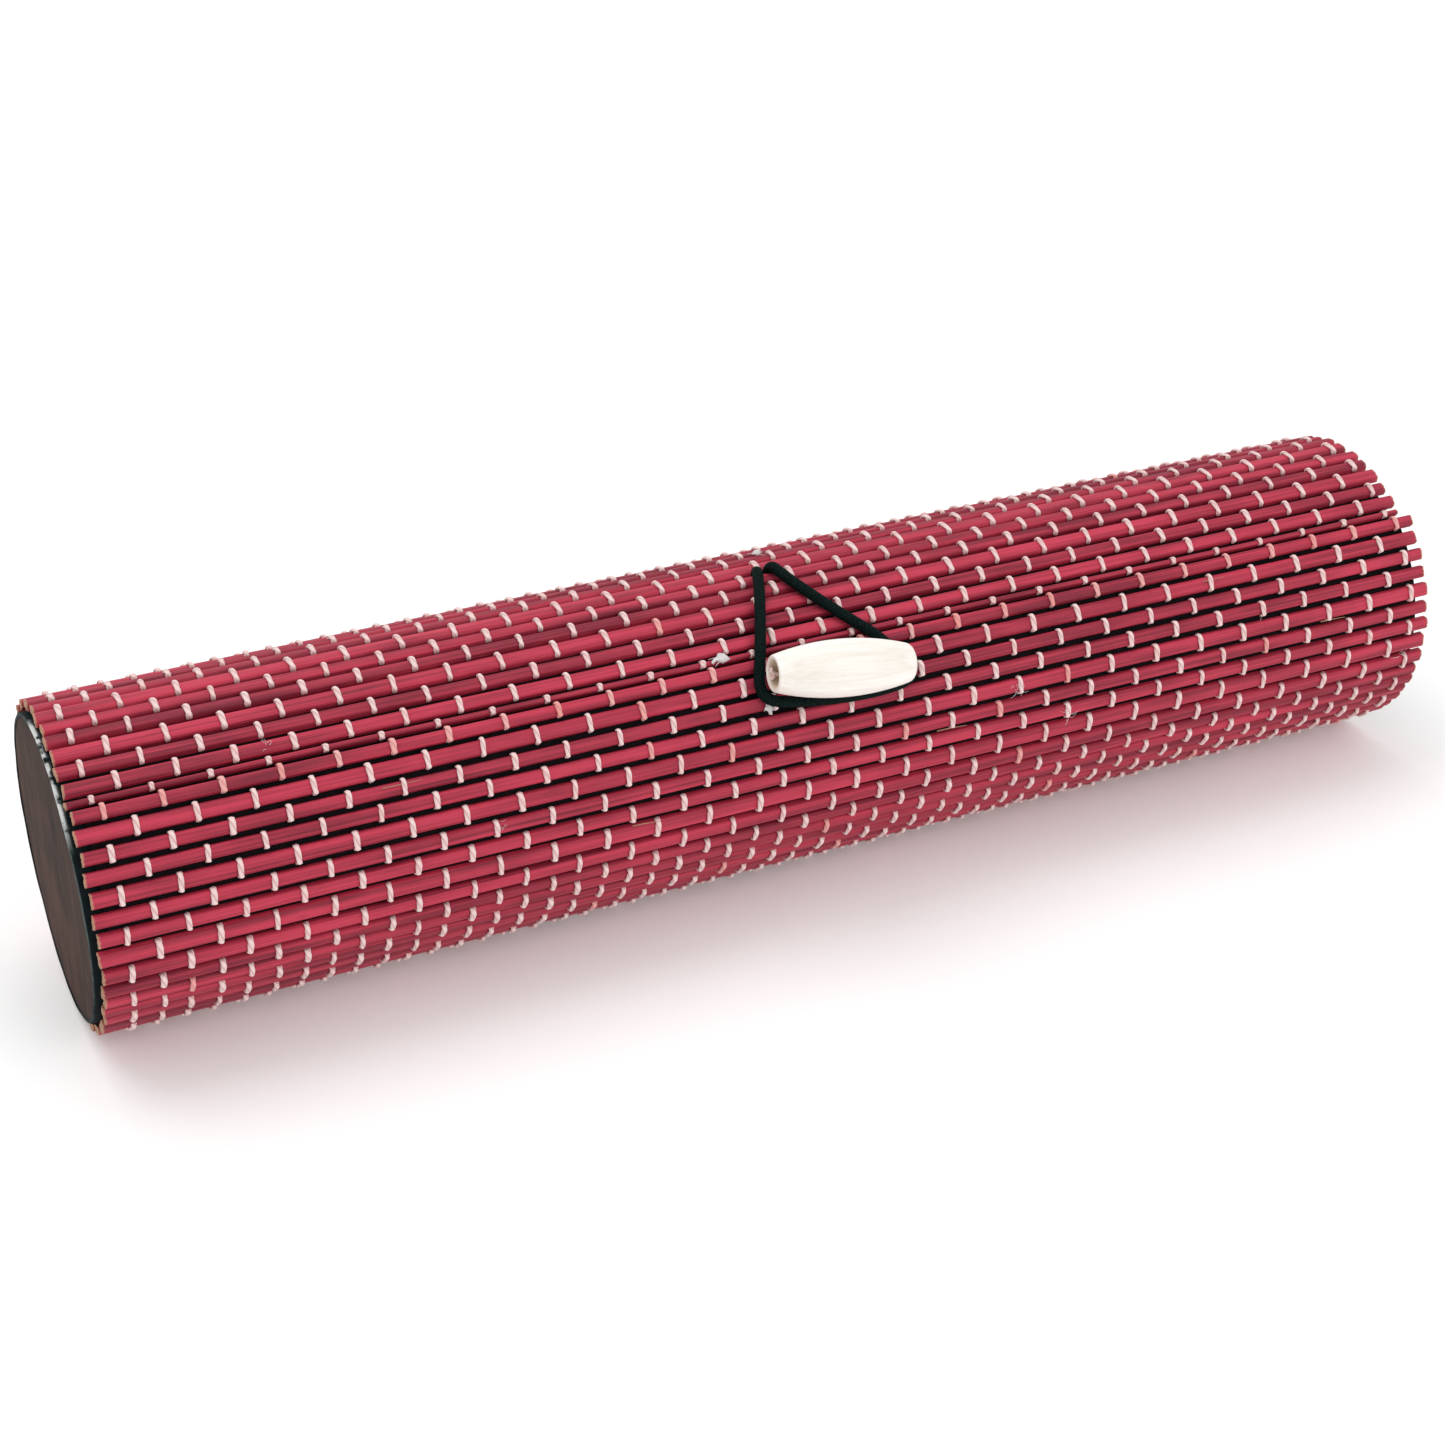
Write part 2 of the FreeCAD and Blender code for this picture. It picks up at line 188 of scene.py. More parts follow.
def lower_slats():
    """The slats that stay on the case, from the seam down, underneath and up to the flap's root."""
    slats = []
    for index, (angle, pitch) in enumerate(front_places):
        rise = EDGE_SLAT_RISE if index == 0 else 0.0
        tone = TONES[FRONT_TONES[index]]
        ends, opening = staggered(index, LOWER_ENDS), FRONT_OPENING[index]
        slats.append(Slat(angle, pitch, ends, tone, index % 2, rise=rise, opening=opening))
    pitch_length = 2 * MAT_RADIUS * math.tan(math.radians(STANDARD_PITCH / 2))
    for index in range(BASE_COUNT):
        parity = (len(front_places) + index) % 2
        shift = (index - (BASE_COUNT - 1) / 2) * pitch_length
        ends = staggered(index, LOWER_ENDS)
        slats.append(Slat(UNDERSIDE, STANDARD_PITCH, ends, TONES["."], parity, shift=shift))
    before = len(front_places) + BASE_COUNT
    for index, (angle, pitch) in enumerate(back_places):
        tone = TONES[BACK_TONES[index]]
        ends = staggered(index, LOWER_ENDS)
        parity = (before + index) % 2
        slats.append(Slat(angle, pitch, ends, tone, parity, opening=BACK_OPENING[index]))
    return slats


def flap_slats():
    """The flap's slats, from its root to its free edge, one for each link."""
    slats = []
    for index, (angle, pitch) in enumerate(flap_places):
        number = len(flap_places) - index
        ends = (FLAP_ENDS[0] + STAGGER * (1 - number % 2), FLAP_ENDS[1] + STAGGER * (1 - number % 2))
        tone = TONES[FLAP_TONES[index]]
        slats.append(Slat(angle, pitch, ends, tone, index % 2, opening=FLAP_OPENING[index]))
    slats.reverse()
    return slats


# ---- node trees ------------------------------------------------------------------------------
class Term:
    """A socket in a sum or product: each operator adds its Math node to the socket's own tree."""

    def __init__(self, kit, socket):
        self.kit = kit
        self.socket = socket

    def math(self, operation, *others):
        inputs = dict(enumerate((self, *others)))
        return self.kit.out(self.kit.node("ShaderNodeMath", {"operation": operation}, inputs))

    def reflected(self, operation, other):
        inputs = {0: other, 1: self}
        return self.kit.out(self.kit.node("ShaderNodeMath", {"operation": operation}, inputs))

    def __add__(self, other):
        return self.math("ADD", other)

    def __sub__(self, other):
        return self.math("SUBTRACT", other)

    def __mul__(self, other):
        return self.math("MULTIPLY", other)

    def __truediv__(self, other):
        return self.math("DIVIDE", other)

    def __pow__(self, other):
        return self.math("POWER", other)

    def __gt__(self, other):
        return self.math("GREATER_THAN", other)

    def __lt__(self, other):
        return self.math("LESS_THAN", other)

    def __abs__(self):
        return self.math("ABSOLUTE")

    def __rsub__(self, other):
        return self.reflected("SUBTRACT", other)

    def __rtruediv__(self, other):
        return self.reflected("DIVIDE", other)

    __radd__ = __add__
    __rmul__ = __mul__

    def clamped(self):
        return self.math("MAXIMUM", 0.0).math("MINIMUM", 1.0)

    def step(self, low, high):
        """0 below low and 1 above high, with a smooth rise between."""
        settings = {"interpolation_type": "SMOOTHSTEP"}
        inputs = {"Value": self, "From Min": low, "From Max": high, "To Min": 0.0, "To Max": 1.0}
        return self.kit.out(self.kit.node("ShaderNodeMapRange", settings, inputs))


class Kit:
    """Adds nodes to one tree."""

    def __init__(self, tree):
        self.tree = tree

    def socket(self, sockets, key):
        """The socket with a place or a name, among those that are in use."""
        if isinstance(key, int):
            return sockets[key]
        found = [s for s in sockets if s.name == key and s.enabled]
        if not found:
            raise RuntimeError(f"no socket named {key} among {[s.name for s in sockets]}")
        return found[0]

    def node(self, kind, settings=None, inputs=None):
        """A node of a type: its settings first, then its sockets' values or links."""
        made = self.tree.nodes.new(kind)
        for name, value in (settings or {}).items():
            setattr(made, name, value)
        for key, value in (inputs or {}).items():
            socket = self.socket(made.inputs, key)
            if isinstance(value, Term):
                self.tree.links.new(value.socket, socket)
            else:
                socket.default_value = value
        return made

    def out(self, node, key=0):
        return Term(self, self.socket(node.outputs, key))

    def combine(self, x, y, z):
        return self.out(self.node("ShaderNodeCombineXYZ", {}, {0: x, 1: y, 2: z}))

    def separate(self, vector):
        node = self.node("ShaderNodeSeparateXYZ", {}, {0: vector})
        return [self.out(node, place) for place in range(3)]

    def noise(self, vector, scale, detail=2.0, roughness=0.5, seed=None):
        """Noise from 0 to 1 at a vector; a seed makes it differ from piece to piece."""
        settings = {"noise_dimensions": "3D" if seed is None else "4D"}
        inputs = {"Vector": vector, "Scale": scale, "Detail": detail, "Roughness": roughness}
        if seed is not None:
            inputs["W"] = seed
        return self.out(self.node("ShaderNodeTexNoise", settings, inputs))

    def mix_color(self, factor, first, second):
        settings = {"data_type": "RGBA", "blend_type": "MIX", "clamp_factor": True}
        node = self.node("ShaderNodeMix", settings)
        for name, value in (("Factor", factor), ("A", first), ("B", second)):
            socket = self.socket(node.inputs, name)
            if isinstance(value, Term):
                self.tree.links.new(value.socket, socket)
            elif name == "Factor":
                socket.default_value = value
            else:
                socket.default_value = (*value, 1.0)
        return self.out(node, "Result")


class Finish(Kit):
    """A material with one Principled shader, whose varying sockets are fed at the end."""

    def __init__(self, name, **constants):
        self.material = bpy.data.materials.new(name + "_finish")
        self.material.use_nodes = True
        super().__init__(self.material.node_tree)
        self.shader = self.tree.nodes["Principled BSDF"]
        for socket, value in constants.items():
            self.shader.inputs[socket.replace("_", " ")].default_value = value

    def attribute(self, name, output="Fac"):
        settings = {"attribute_type": "GEOMETRY", "attribute_name": name}
        return self.out(self.node("ShaderNodeAttribute", settings), output)

    def object_place(self):
        return self.out(self.node("ShaderNodeTexCoord"), "Object")

    def stretched(self, vector, scale):
        """A vector scaled by three factors."""
        settings = {"operation": "MULTIPLY"}
        return self.out(self.node("ShaderNodeVectorMath", settings, {0: vector, 1: scale}))

    def feed(self, **links):
        for socket, value in links.items():
            self.tree.links.new(value.socket, self.shader.inputs[socket.replace("_", " ")])

    def bump(self, height, distance, strength=1.0):
        inputs = {"Strength": strength, "Distance": distance, "Height": height}
        return self.out(self.node("ShaderNodeBump", {}, inputs))


class Pattern(Kit):
    """A Geometry Nodes tree with named inputs, run on one object at a time."""

    def __init__(self, name, inputs):
        tree = bpy.data.node_groups.new(name, "GeometryNodeTree")
        super().__init__(tree)
        tree.interface.new_socket("Geometry", in_out="INPUT", socket_type="NodeSocketGeometry")
        tree.interface.new_socket("Geometry", in_out="OUTPUT", socket_type="NodeSocketGeometry")
        self.identifiers = {}
        for label, kind in inputs.items():
            socket = tree.interface.new_socket(label, in_out="INPUT", socket_type=kind)
            self.identifiers[label] = socket.identifier
        self.entry = self.node("NodeGroupInput")

    def given(self, label):
        return self.out(self.entry, label)

    def named(self, name, kind="FLOAT"):
        node = self.node("GeometryNodeInputNamedAttribute", {"data_type": kind}, {"Name": name})
        return self.out(node, "Attribute")

    def store(self, geometry, name, value, kind="FLOAT", domain="POINT"):
        settings = {"data_type": kind, "domain": domain}
        inputs = {"Geometry": geometry, "Name": name, "Value": value}
        return self.out(self.node("GeometryNodeStoreNamedAttribute", settings, inputs))

    def place(self):
        return self.out(self.node("GeometryNodeInputPosition"))

    def random(self, low, high, seed):
        settings = {"data_type": "FLOAT"}
        node = self.node("FunctionNodeRandomValue", settings, {"Min": low, "Max": high, "Seed": seed})
        return self.out(node, "Value")

    def moved(self, geometry, **inputs):
        return self.out(self.node("GeometryNodeSetPosition", {}, {"Geometry": geometry, **inputs}))

    def instanced(self, points, instance, rotation, scale):
        turned = self.out(self.node("FunctionNodeEulerToRotation", {}, {0: rotation}))
        inputs = {"Points": points, "Instance": instance, "Rotation": turned, "Scale": scale}
        return self.out(self.node("GeometryNodeInstanceOnPoints", {}, inputs))

    def finish(self, geometry, material, sharp_above=None):
        """Ends the tree: real geometry, smooth faces with sharp corners, and the material."""
        smooth = self.node("GeometryNodeSetShadeSmooth", {"domain": "FACE"}, {0: geometry})
        result = self.out(smooth)
        if sharp_above is not None:
            angle = self.out(self.node("GeometryNodeInputMeshEdgeAngle"), "Unsigned Angle")
            inputs = {0: result, 1: angle > sharp_above, 2: False}
            result = self.out(self.node("GeometryNodeSetShadeSmooth", {"domain": "EDGE"}, inputs))
        result = self.out(self.node("GeometryNodeRealizeInstances", {}, {0: result}))
        inputs = {"Geometry": result, "Material": material}
        result = self.out(self.node("GeometryNodeSetMaterial", {}, inputs))
        self.node("NodeGroupOutput", {}, {"Geometry": result})

    def run(self, name, carrier, material, **values):
        """A plain mesh object: what the tree makes of a carrier mesh with these inputs."""
        source = link_object(name + "_carrier", carrier)
        modifier = source.modifiers.new("pattern", "NODES")
        modifier.node_group = self.tree
        for label, value in values.items():
            modifier[self.identifiers[label.replace("_", " ")]] = value
        depsgraph = bpy.context.evaluated_depsgraph_get()
        evaluated = source.evaluated_get(depsgraph)
        mesh = bpy.data.meshes.new_from_object(
            evaluated, preserve_all_data_layers=True, depsgraph=depsgraph
        )
        bpy.data.objects.remove(source)
        bpy.data.meshes.remove(carrier)
        mesh.name = name
        if not mesh.polygons:
            raise RuntimeError(f"{name} came out empty")
        mesh.materials.clear()
        mesh.materials.append(material)
        return link_object(name, mesh)


def link_object(name, data):
    made = bpy.data.objects.new(name, data)
    bpy.context.scene.collection.objects.link(made)
    return made


def settings():
    return bpy.context.scene.roll_case


# ---- finishes --------------------------------------------------------------------------------
def dyed_bamboo(color, dark_color, raw_color):
    """Red dyed split bamboo: long fibres, uneven dye, and raw tan wood where it is cut."""
    finish = Finish("dyed_bamboo", Specular_IOR_Level=0.3)
    grain = finish.attribute("grain", "Vector")
    tone = finish.attribute("tone")
    from_end = finish.attribute("from_end")
    cut = finish.attribute("cut")
    fibres = finish.noise(finish.stretched(grain, (14, 2600, 2600)), 1.0, 3.0, 0.6)
    strands = finish.noise(finish.stretched(grain, (30, 6500, 6500)), 1.0, 2.0, 0.5)
    streaks = finish.noise(finish.stretched(grain, (22, 700, 700)), 1.0, 2.0, 0.5)
    blotches = finish.noise(finish.stretched(grain, (60, 260, 260)), 1.0, 3.0, 0.6)
    nodes_of_cane = finish.noise(finish.stretched(grain, (9, 90, 90)), 1.0, 1.0, 0.4)
    light = 0.5 + (tone - 0.5) * 0.5 + (fibres - 0.5) * 1.7 + (streaks - 0.5) * 1.9 + (blotches - 0.5) * 1.1
    body = finish.mix_color(light.clamped(), dark_color, color)
    pale = tuple(min(1.0, c * 1.25 + 0.035) for c in color)
    body = finish.mix_color((strands.step(0.62, 0.8) * 0.35).clamped(), body, pale)
    deep = tuple(c * 0.4 for c in dark_color)
    body = finish.mix_color((blotches.step(0.66, 0.8) * nodes_of_cane.step(0.5, 0.62) * 0.6), body, deep)
    fray = finish.noise(finish.stretched(grain, (900, 3800, 3800)), 1.0, 2.0, 0.6)
    worn_reach = fray * 0.7 * MM + 0.02 * MM
    worn_end = (from_end / worn_reach).step(1.0, 0.35) * 0.7
    raw = finish.mix_color(fray, tuple(c * 0.72 for c in raw_color), raw_color)
    mask = cut.math("MAXIMUM", worn_end)
    finish.feed(
        Base_Color=finish.mix_color(mask.clamped(), body, raw),
        Roughness=(0.45 + fibres * 0.25 + mask * 0.3).clamped(),
        Normal=finish.bump(fibres * 0.8 + strands * 0.5 + fray * mask, 0.16 * MM, 0.9),
    )
    return finish.material


def cotton_thread(name, color, stained_color):
    """White two-ply cotton; some stitches took up dye from the slats."""
    finish = Finish(name, Roughness=0.9, Specular_IOR_Level=0.2, Sheen_Weight=0.35)
    turn = finish.attribute("thread_turn")
    run = finish.attribute("thread_run")
    stain = finish.attribute("stain")
    seed = finish.attribute("thread_seed")
    lay = turn - run * settings().thread_twist
    ply = lay.math("MULTIPLY", 2.0).math("COSINE")
    fibre = finish.combine(lay * 2.2, run * 1.1, seed * 40.0)
    fuzz = finish.noise(fibre, 2.6, 3.0, 0.65)
    groove = ply.step(-0.35, -1.0)
    pale = tuple(min(1.0, c * 1.12) for c in color)
    body = finish.mix_color(fuzz, tuple(c * 0.78 for c in color), pale)
    body = finish.mix_color((stain * (0.55 + fuzz * 0.6)).clamped(), body, stained_color)
    shadow = tuple(c * 0.55 for c in stained_color)
    body = finish.mix_color(groove * 0.45, body, shadow)
    finish.feed(Base_Color=body, Normal=finish.bump(ply * 0.5 + fuzz, 0.12 * MM, 0.6))
    return finish.material


def woven_cloth(name, color, light_color, threads_per_metre, roughness=0.92):
    """Dark plain-weave cloth, with its weave across X and across Y and Z together."""
    finish = Finish(name, Roughness=roughness, Specular_IOR_Level=0.1)
    place = finish.object_place()
    x, y, z = finish.separate(place)
    scale = threads_per_metre * 2 * math.pi
    weave = (x * scale).math("SINE") * ((y + z) * scale).math("SINE")
    mottle = finish.noise(place, 420.0, 3.0, 0.6)
    lint = finish.noise(finish.stretched(place, (700, 1900, 1900)), 1.0, 2.0, 0.6).step(0.68, 0.78)
    body = finish.mix_color((mottle * 0.8 + weave * 0.15).clamped(), color, light_color)
    body = finish.mix_color(lint * 0.3, body, tuple(c * 2.2 + 0.02 for c in light_color))
    finish.feed(Base_Color=body, Normal=finish.bump(weave * 0.5 + mottle * 0.5, 0.1 * MM, 0.6))
    return finish.material


def brown_board(color, light_color):
    """Dark brown fibre board: fine speckle, faint upright grain, and painted shade at its edge, next to the
    cloth's lip.
    """
    finish = Finish("brown_board", Specular_IOR_Level=0.12)
    place = finish.object_place()
    _, y, z = finish.separate(place)
    speckle = finish.noise(place, 2600.0, 2.0, 0.7)
    grain = finish.noise(finish.stretched(place, (400, 900, 90)), 1.0, 3.0, 0.6)
    cloud = finish.noise(place, 55.0, 3.0, 0.6)
    light = 0.42 + (speckle - 0.5) * 2.4 + (grain - 0.5) * 2.6 + (cloud - 0.5) * 2.4
    body = finish.mix_color(light.clamped(), color, light_color)
    height = z - AXIS_HEIGHT
    radius = (y * y + height * height).math("SQRT")
    # painted shade: a darker ring at the face's edge, next to the cloth's lip
    painted_edge_shading = radius.step(26.6 * MM, 27.25 * MM) * (0.35 + speckle * 0.6)
    body = finish.mix_color(painted_edge_shading.clamped(), body, tuple(c * 0.35 for c in color))
    finish.feed(
        Base_Color=body,
        Roughness=(0.62 + speckle * 0.3).clamped(),
        Normal=finish.bump(speckle * 0.6 + grain * 0.5, 0.12 * MM, 0.5),
    )
    return finish.material


def rim_cloth_finish(color, painted_highlight_color, glue_color):
    """Dark cloth turned over a disc's edge: a painted highlight along the fold, with a smear of dry glue."""
    finish = Finish("rim_cloth", Roughness=0.85, Specular_IOR_Level=0.12)
    place = finish.object_place()
    _, y, z = finish.separate(place)
    fold = finish.attribute("fold")
    mottle = finish.noise(place, 900.0, 3.0, 0.6)
    slow = finish.noise(place, 90.0, 2.0, 0.5)
    body = finish.mix_color(mottle, color, tuple(c * 2.0 for c in color))
    # painted highlight: a lighter, patchy line where the fold turns over the board's edge
    painted_edge_shading = fold.step(0.75, 1.0) * (0.35 + (slow - 0.5) * 2.4 + (mottle - 0.5) * 1.5).clamped()
    body = finish.mix_color(painted_edge_shading.clamped(), body, painted_highlight_color)
    height = (z - AXIS_HEIGHT) / MAT_RADIUS
    patches = finish.noise(place, 320.0, 3.0, 0.6).step(0.42, 0.56)
    smear = height.step(0.52, 0.72) * (0.18 - y / MAT_RADIUS).step(0.0, 0.15) * fold.step(0.2, 0.6)
    body = finish.mix_color((smear * patches).clamped(), body, glue_color)
    finish.feed(Base_Color=body, Normal=finish.bump(mottle, 0.1 * MM, 0.5))
    return finish.material


def bead_wood(color, dark_color):
    """Pale turned wood: fine grain along the bead, a few darker pores, and painted shade inside the bore."""
    finish = Finish("bead_wood", Roughness=0.45, Specular_IOR_Level=0.4)
    grain = finish.attribute("grain", "Vector")
    bore = finish.attribute("bore")
    lines = finish.noise(finish.stretched(grain, (55, 1500, 1500)), 1.0, 3.0, 0.6)
    pores = finish.noise(finish.stretched(grain, (240, 3600, 3600)), 1.0, 2.0, 0.5).step(0.64, 0.76)
    bands = finish.noise(finish.stretched(grain, (16, 330, 330)), 1.0, 2.0, 0.5)
    light = 0.62 + (lines - 0.5) * 1.5 + (bands - 0.5) * 1.6
    body = finish.mix_color(light.clamped(), dark_color, color)
    body = finish.mix_color(pores * 0.35, body, tuple(c * 0.72 for c in dark_color))
    # painted shade: the bore and the mouths of its ends are darker and browner
    inside = tuple(c * f for c, f in zip(dark_color, (0.62, 0.52, 0.38)))
    body = finish.mix_color(bore, body, inside)
    finish.feed(
        Base_Color=body,
        Roughness=(0.4 + lines * 0.25).clamped(),
        Normal=finish.bump(lines * 0.6 - pores * 0.6, 0.06 * MM, 0.5),
    )
    return finish.material


def elastic_cover(color, light_color):
    """Round elastic with a fine braided cover and painted highlights on its strands, on the cord's own UV
    map.
    """
    finish = Finish("elastic_cord", Roughness=0.75, Specular_IOR_Level=0.06)
    uv = finish.out(finish.node("ShaderNodeUVMap", {"uv_map": "cord"}))
    run, turn, _ = finish.separate(uv)
    strands = settings().braid_strands
    around = turn * (strands * 2 * math.pi)
    along = run * (2 * math.pi / (0.55 * MM))
    left = (around + along).math("SINE")
    right = (around - along).math("SINE")
    over = (left * right)
    braid = left.math("MAXIMUM", right)
    fuzz = finish.noise(finish.combine(run * 2200.0, turn * 30.0, 0.0), 1.0, 2.0, 0.6)
    # painted highlight: the braid's crowns and speckles along the cord are lighter
    light = (braid * 0.3 + over * 0.2 + (fuzz - 0.5) * 2.2 + 0.1).clamped()
    finish.feed(
        Base_Color=finish.mix_color(light, color, light_color),
        Normal=finish.bump(braid * 0.6 + fuzz * 0.5, 0.1 * MM, 0.7),
    )
    return finish.material


def plain_floor(color):
    finish = Finish("floor", Roughness=0.9, Specular_IOR_Level=0.0, Emission_Color=(1.0, 1.0, 1.0, 1.0),
                    Emission_Strength=0.12)
    place = finish.object_place()
    mottle = finish.noise(place, 3.0, 2.0, 0.5)
    finish.feed(Base_Color=finish.mix_color(mottle, tuple(c * 0.99 for c in color), color))
    return finish.material


def finish_named(name):
    """A finish that an earlier operator made, or the one that it would make."""
    found = bpy.data.materials.get(name + "_finish")
    if found:
        return found
    s = settings()
    makers = {
        "dyed_bamboo": lambda: dyed_bamboo(tuple(s.dye_color), tuple(s.dark_dye_color), tuple(s.raw_color)),
        "cotton_thread": lambda: cotton_thread(
            "cotton_thread", tuple(s.thread_color), tuple(s.stained_color)
        ),
        "loose_cotton": lambda: cotton_thread("loose_cotton", (0.98, 0.93, 0.91), tuple(s.thread_color)),
        "lining_cloth": lambda: woven_cloth(
            "lining_cloth", (0.004, 0.003, 0.004), (0.014, 0.010, 0.012), 1100
        ),
        "seat_tape": lambda: woven_cloth("seat_tape", (0.008, 0.010, 0.011), (0.03, 0.034, 0.036), 1500),
        "brown_board": lambda: brown_board((0.023, 0.0105, 0.0073), (0.077, 0.036, 0.025)),
        "rim_cloth": lambda: rim_cloth_finish((0.003, 0.006, 0.007), (0.10, 0.135, 0.13), (0.62, 0.65, 0.64)),
        "bead_wood": lambda: bead_wood(tuple(s.bead_color), tuple(s.bead_dark_color)),
        "elastic_cord": lambda: elastic_cover((0.0006, 0.0022, 0.0020), (0.010, 0.032, 0.028)),
        "floor": lambda: plain_floor(tuple(s.floor_color)),
    }
    return makers[name]()


def paint(node_name, finish_name):
    """Gives a frame node its finish; its mesh is left alone."""
    node = frame["nodes"][node_name]
    material = finish_named(finish_name)
    if not node.material_slots:
        node.data.materials.append(material)
    for place in node.material_slots:
        place.material = material


# ---- slats and stitches ----------------------------------------------------------------------
def carrier_mesh(name, slats, columns):
    """One point for each slat, with what the patterns need to know about it."""
    mesh = bpy.data.meshes.new(name)
    points = [(0.0, slat.middle.y, slat.middle.z) for slat in slats]
    mesh.from_pydata(points, [], [])
    values = {
        "turn": [math.radians(90 - slat.angle) for slat in slats],
        "half_width": [slat.half_width for slat in slats],
        "middle_x": [(slat.left + slat.right) / 2 for slat in slats],
        "half_length": [(slat.right - slat.left) / 2 for slat in slats],
        "tone": [slat.tone for slat in slats],
        "stain": [1.0 if slat.edge else 0.0 for slat in slats],
        "press": [1.0 if slat.flattened else 0.0 for slat in slats],
        "first_x": [columns[slat.parity] for slat in slats],
    }
    for key, numbers in values.items():
        attribute = mesh.attributes.new(key, "FLOAT", "POINT")
        attribute.data.foreach_set("value", np.array(numbers, np.float32))
    return mesh


def slat_pattern(material):
    """Slats from points: a rounded strip each, a little uneven, with ragged cut ends."""
    kit = Pattern("roll_case_slats", {
        "Thickness": "NodeSocketFloat",
        "Unevenness": "NodeSocketFloat",
        "End Wear": "NodeSocketFloat",
        "Length Steps": "NodeSocketInt",
        "Seed": "NodeSocketInt",
    })
    seed = kit.given("Seed")
    steps = kit.given("Length Steps")
    inputs = {"Size": (2.0, 2.0, 1.0), "Vertices X": steps, "Vertices Y": 10, "Vertices Z": 4}
    blank = kit.out(kit.node("GeometryNodeMeshCube", {}, inputs))
    x, y, z = kit.separate(kit.place())
    height = z + 0.5
    rounded_y = y * (1.0 - (height.math("POWER", 8.0)) * 0.10)
    crown = abs(y) ** 2.0 * 0.07 + abs(y) ** 7.0 * 0.15
    top = z - 0.5 - crown * height
    blank = kit.moved(blank, Position=kit.combine(x, rounded_y, top))
    blank = kit.store(blank, "along", x)
    blank = kit.store(blank, "across", rounded_y)
    blank = kit.store(blank, "deep", top)
    facing = kit.separate(kit.out(kit.node("GeometryNodeInputNormal")))[0]
    blank = kit.store(blank, "cut", abs(facing) > 0.8, domain="FACE")

    points = kit.moved(kit.given("Geometry"), Offset=kit.combine(kit.named("middle_x"), 0.0, 0.0))
    points = kit.store(points, "slat_seed", kit.random(0.0, 1.0, seed))
    rotation = kit.combine(kit.named("turn"), 0.0, 0.0)
    scale = kit.combine(kit.named("half_length"), kit.named("half_width"), kit.given("Thickness"))
    strips = kit.instanced(points, blank, rotation, scale)
    strips = kit.out(kit.node("GeometryNodeRealizeInstances", {}, {0: strips}))

    along, slat_seed = kit.named("along"), kit.named("slat_seed")
    half_length = kit.named("half_length")
    from_end = (1.0 - abs(along)) * half_length
    strips = kit.store(strips, "from_end", from_end)
    across_size = kit.named("across") * kit.named("half_width")
    deep_size = kit.named("deep") * kit.given("Thickness")
    grain = kit.combine(along * half_length + slat_seed * 7.0, across_size + slat_seed * 3.0, deep_size)
    strips = kit.store(strips, "grain", grain, kind="FLOAT_VECTOR")

    # slow bends along the slat, and faster dents in its faces
    slow_place = kit.combine(along * half_length * 16.0, slat_seed * 91.0, 0.0)
    fast_place = kit.combine(along * half_length * 110.0, kit.named("across") * 0.8, slat_seed * 53.0)
    amount = kit.given("Unevenness")
    sway_y = (kit.noise(slow_place, 1.0, 1.0) - 0.5) * amount * 2.0
    sway_z = (kit.noise(slow_place, 1.0, 1.0, seed=4.2) - 0.5) * amount * 1.2
    dent = (kit.noise(fast_place, 1.0, 2.0) - 0.5) * amount * 0.5
    turn = kit.named("turn")
    sine, cosine = turn.math("SINE"), turn.math("COSINE")
    out_by, up_by = sway_z + dent, sway_y
    offset_y = up_by * cosine - out_by * sine
    offset_z = up_by * sine + out_by * cosine
    press = 1.0 - kit.named("press")
    end_place = kit.combine(kit.named("across") * 2.6, kit.named("deep") * 2.0, slat_seed * 77.0)
    ragged = kit.noise(end_place, 1.3, 3.0, 0.7) - 0.5
    at_end = abs(along) > 0.9995
    skew = (slat_seed - 0.5) * kit.named("across") * 0.5
    offset_x = (ragged * 1.4 + skew) * kit.given("End Wear") * at_end
    strips = kit.moved(strips, Offset=kit.combine(offset_x, offset_y * press, offset_z * press))
    kit.finish(strips, material, sharp_above=0.75)
    return kit


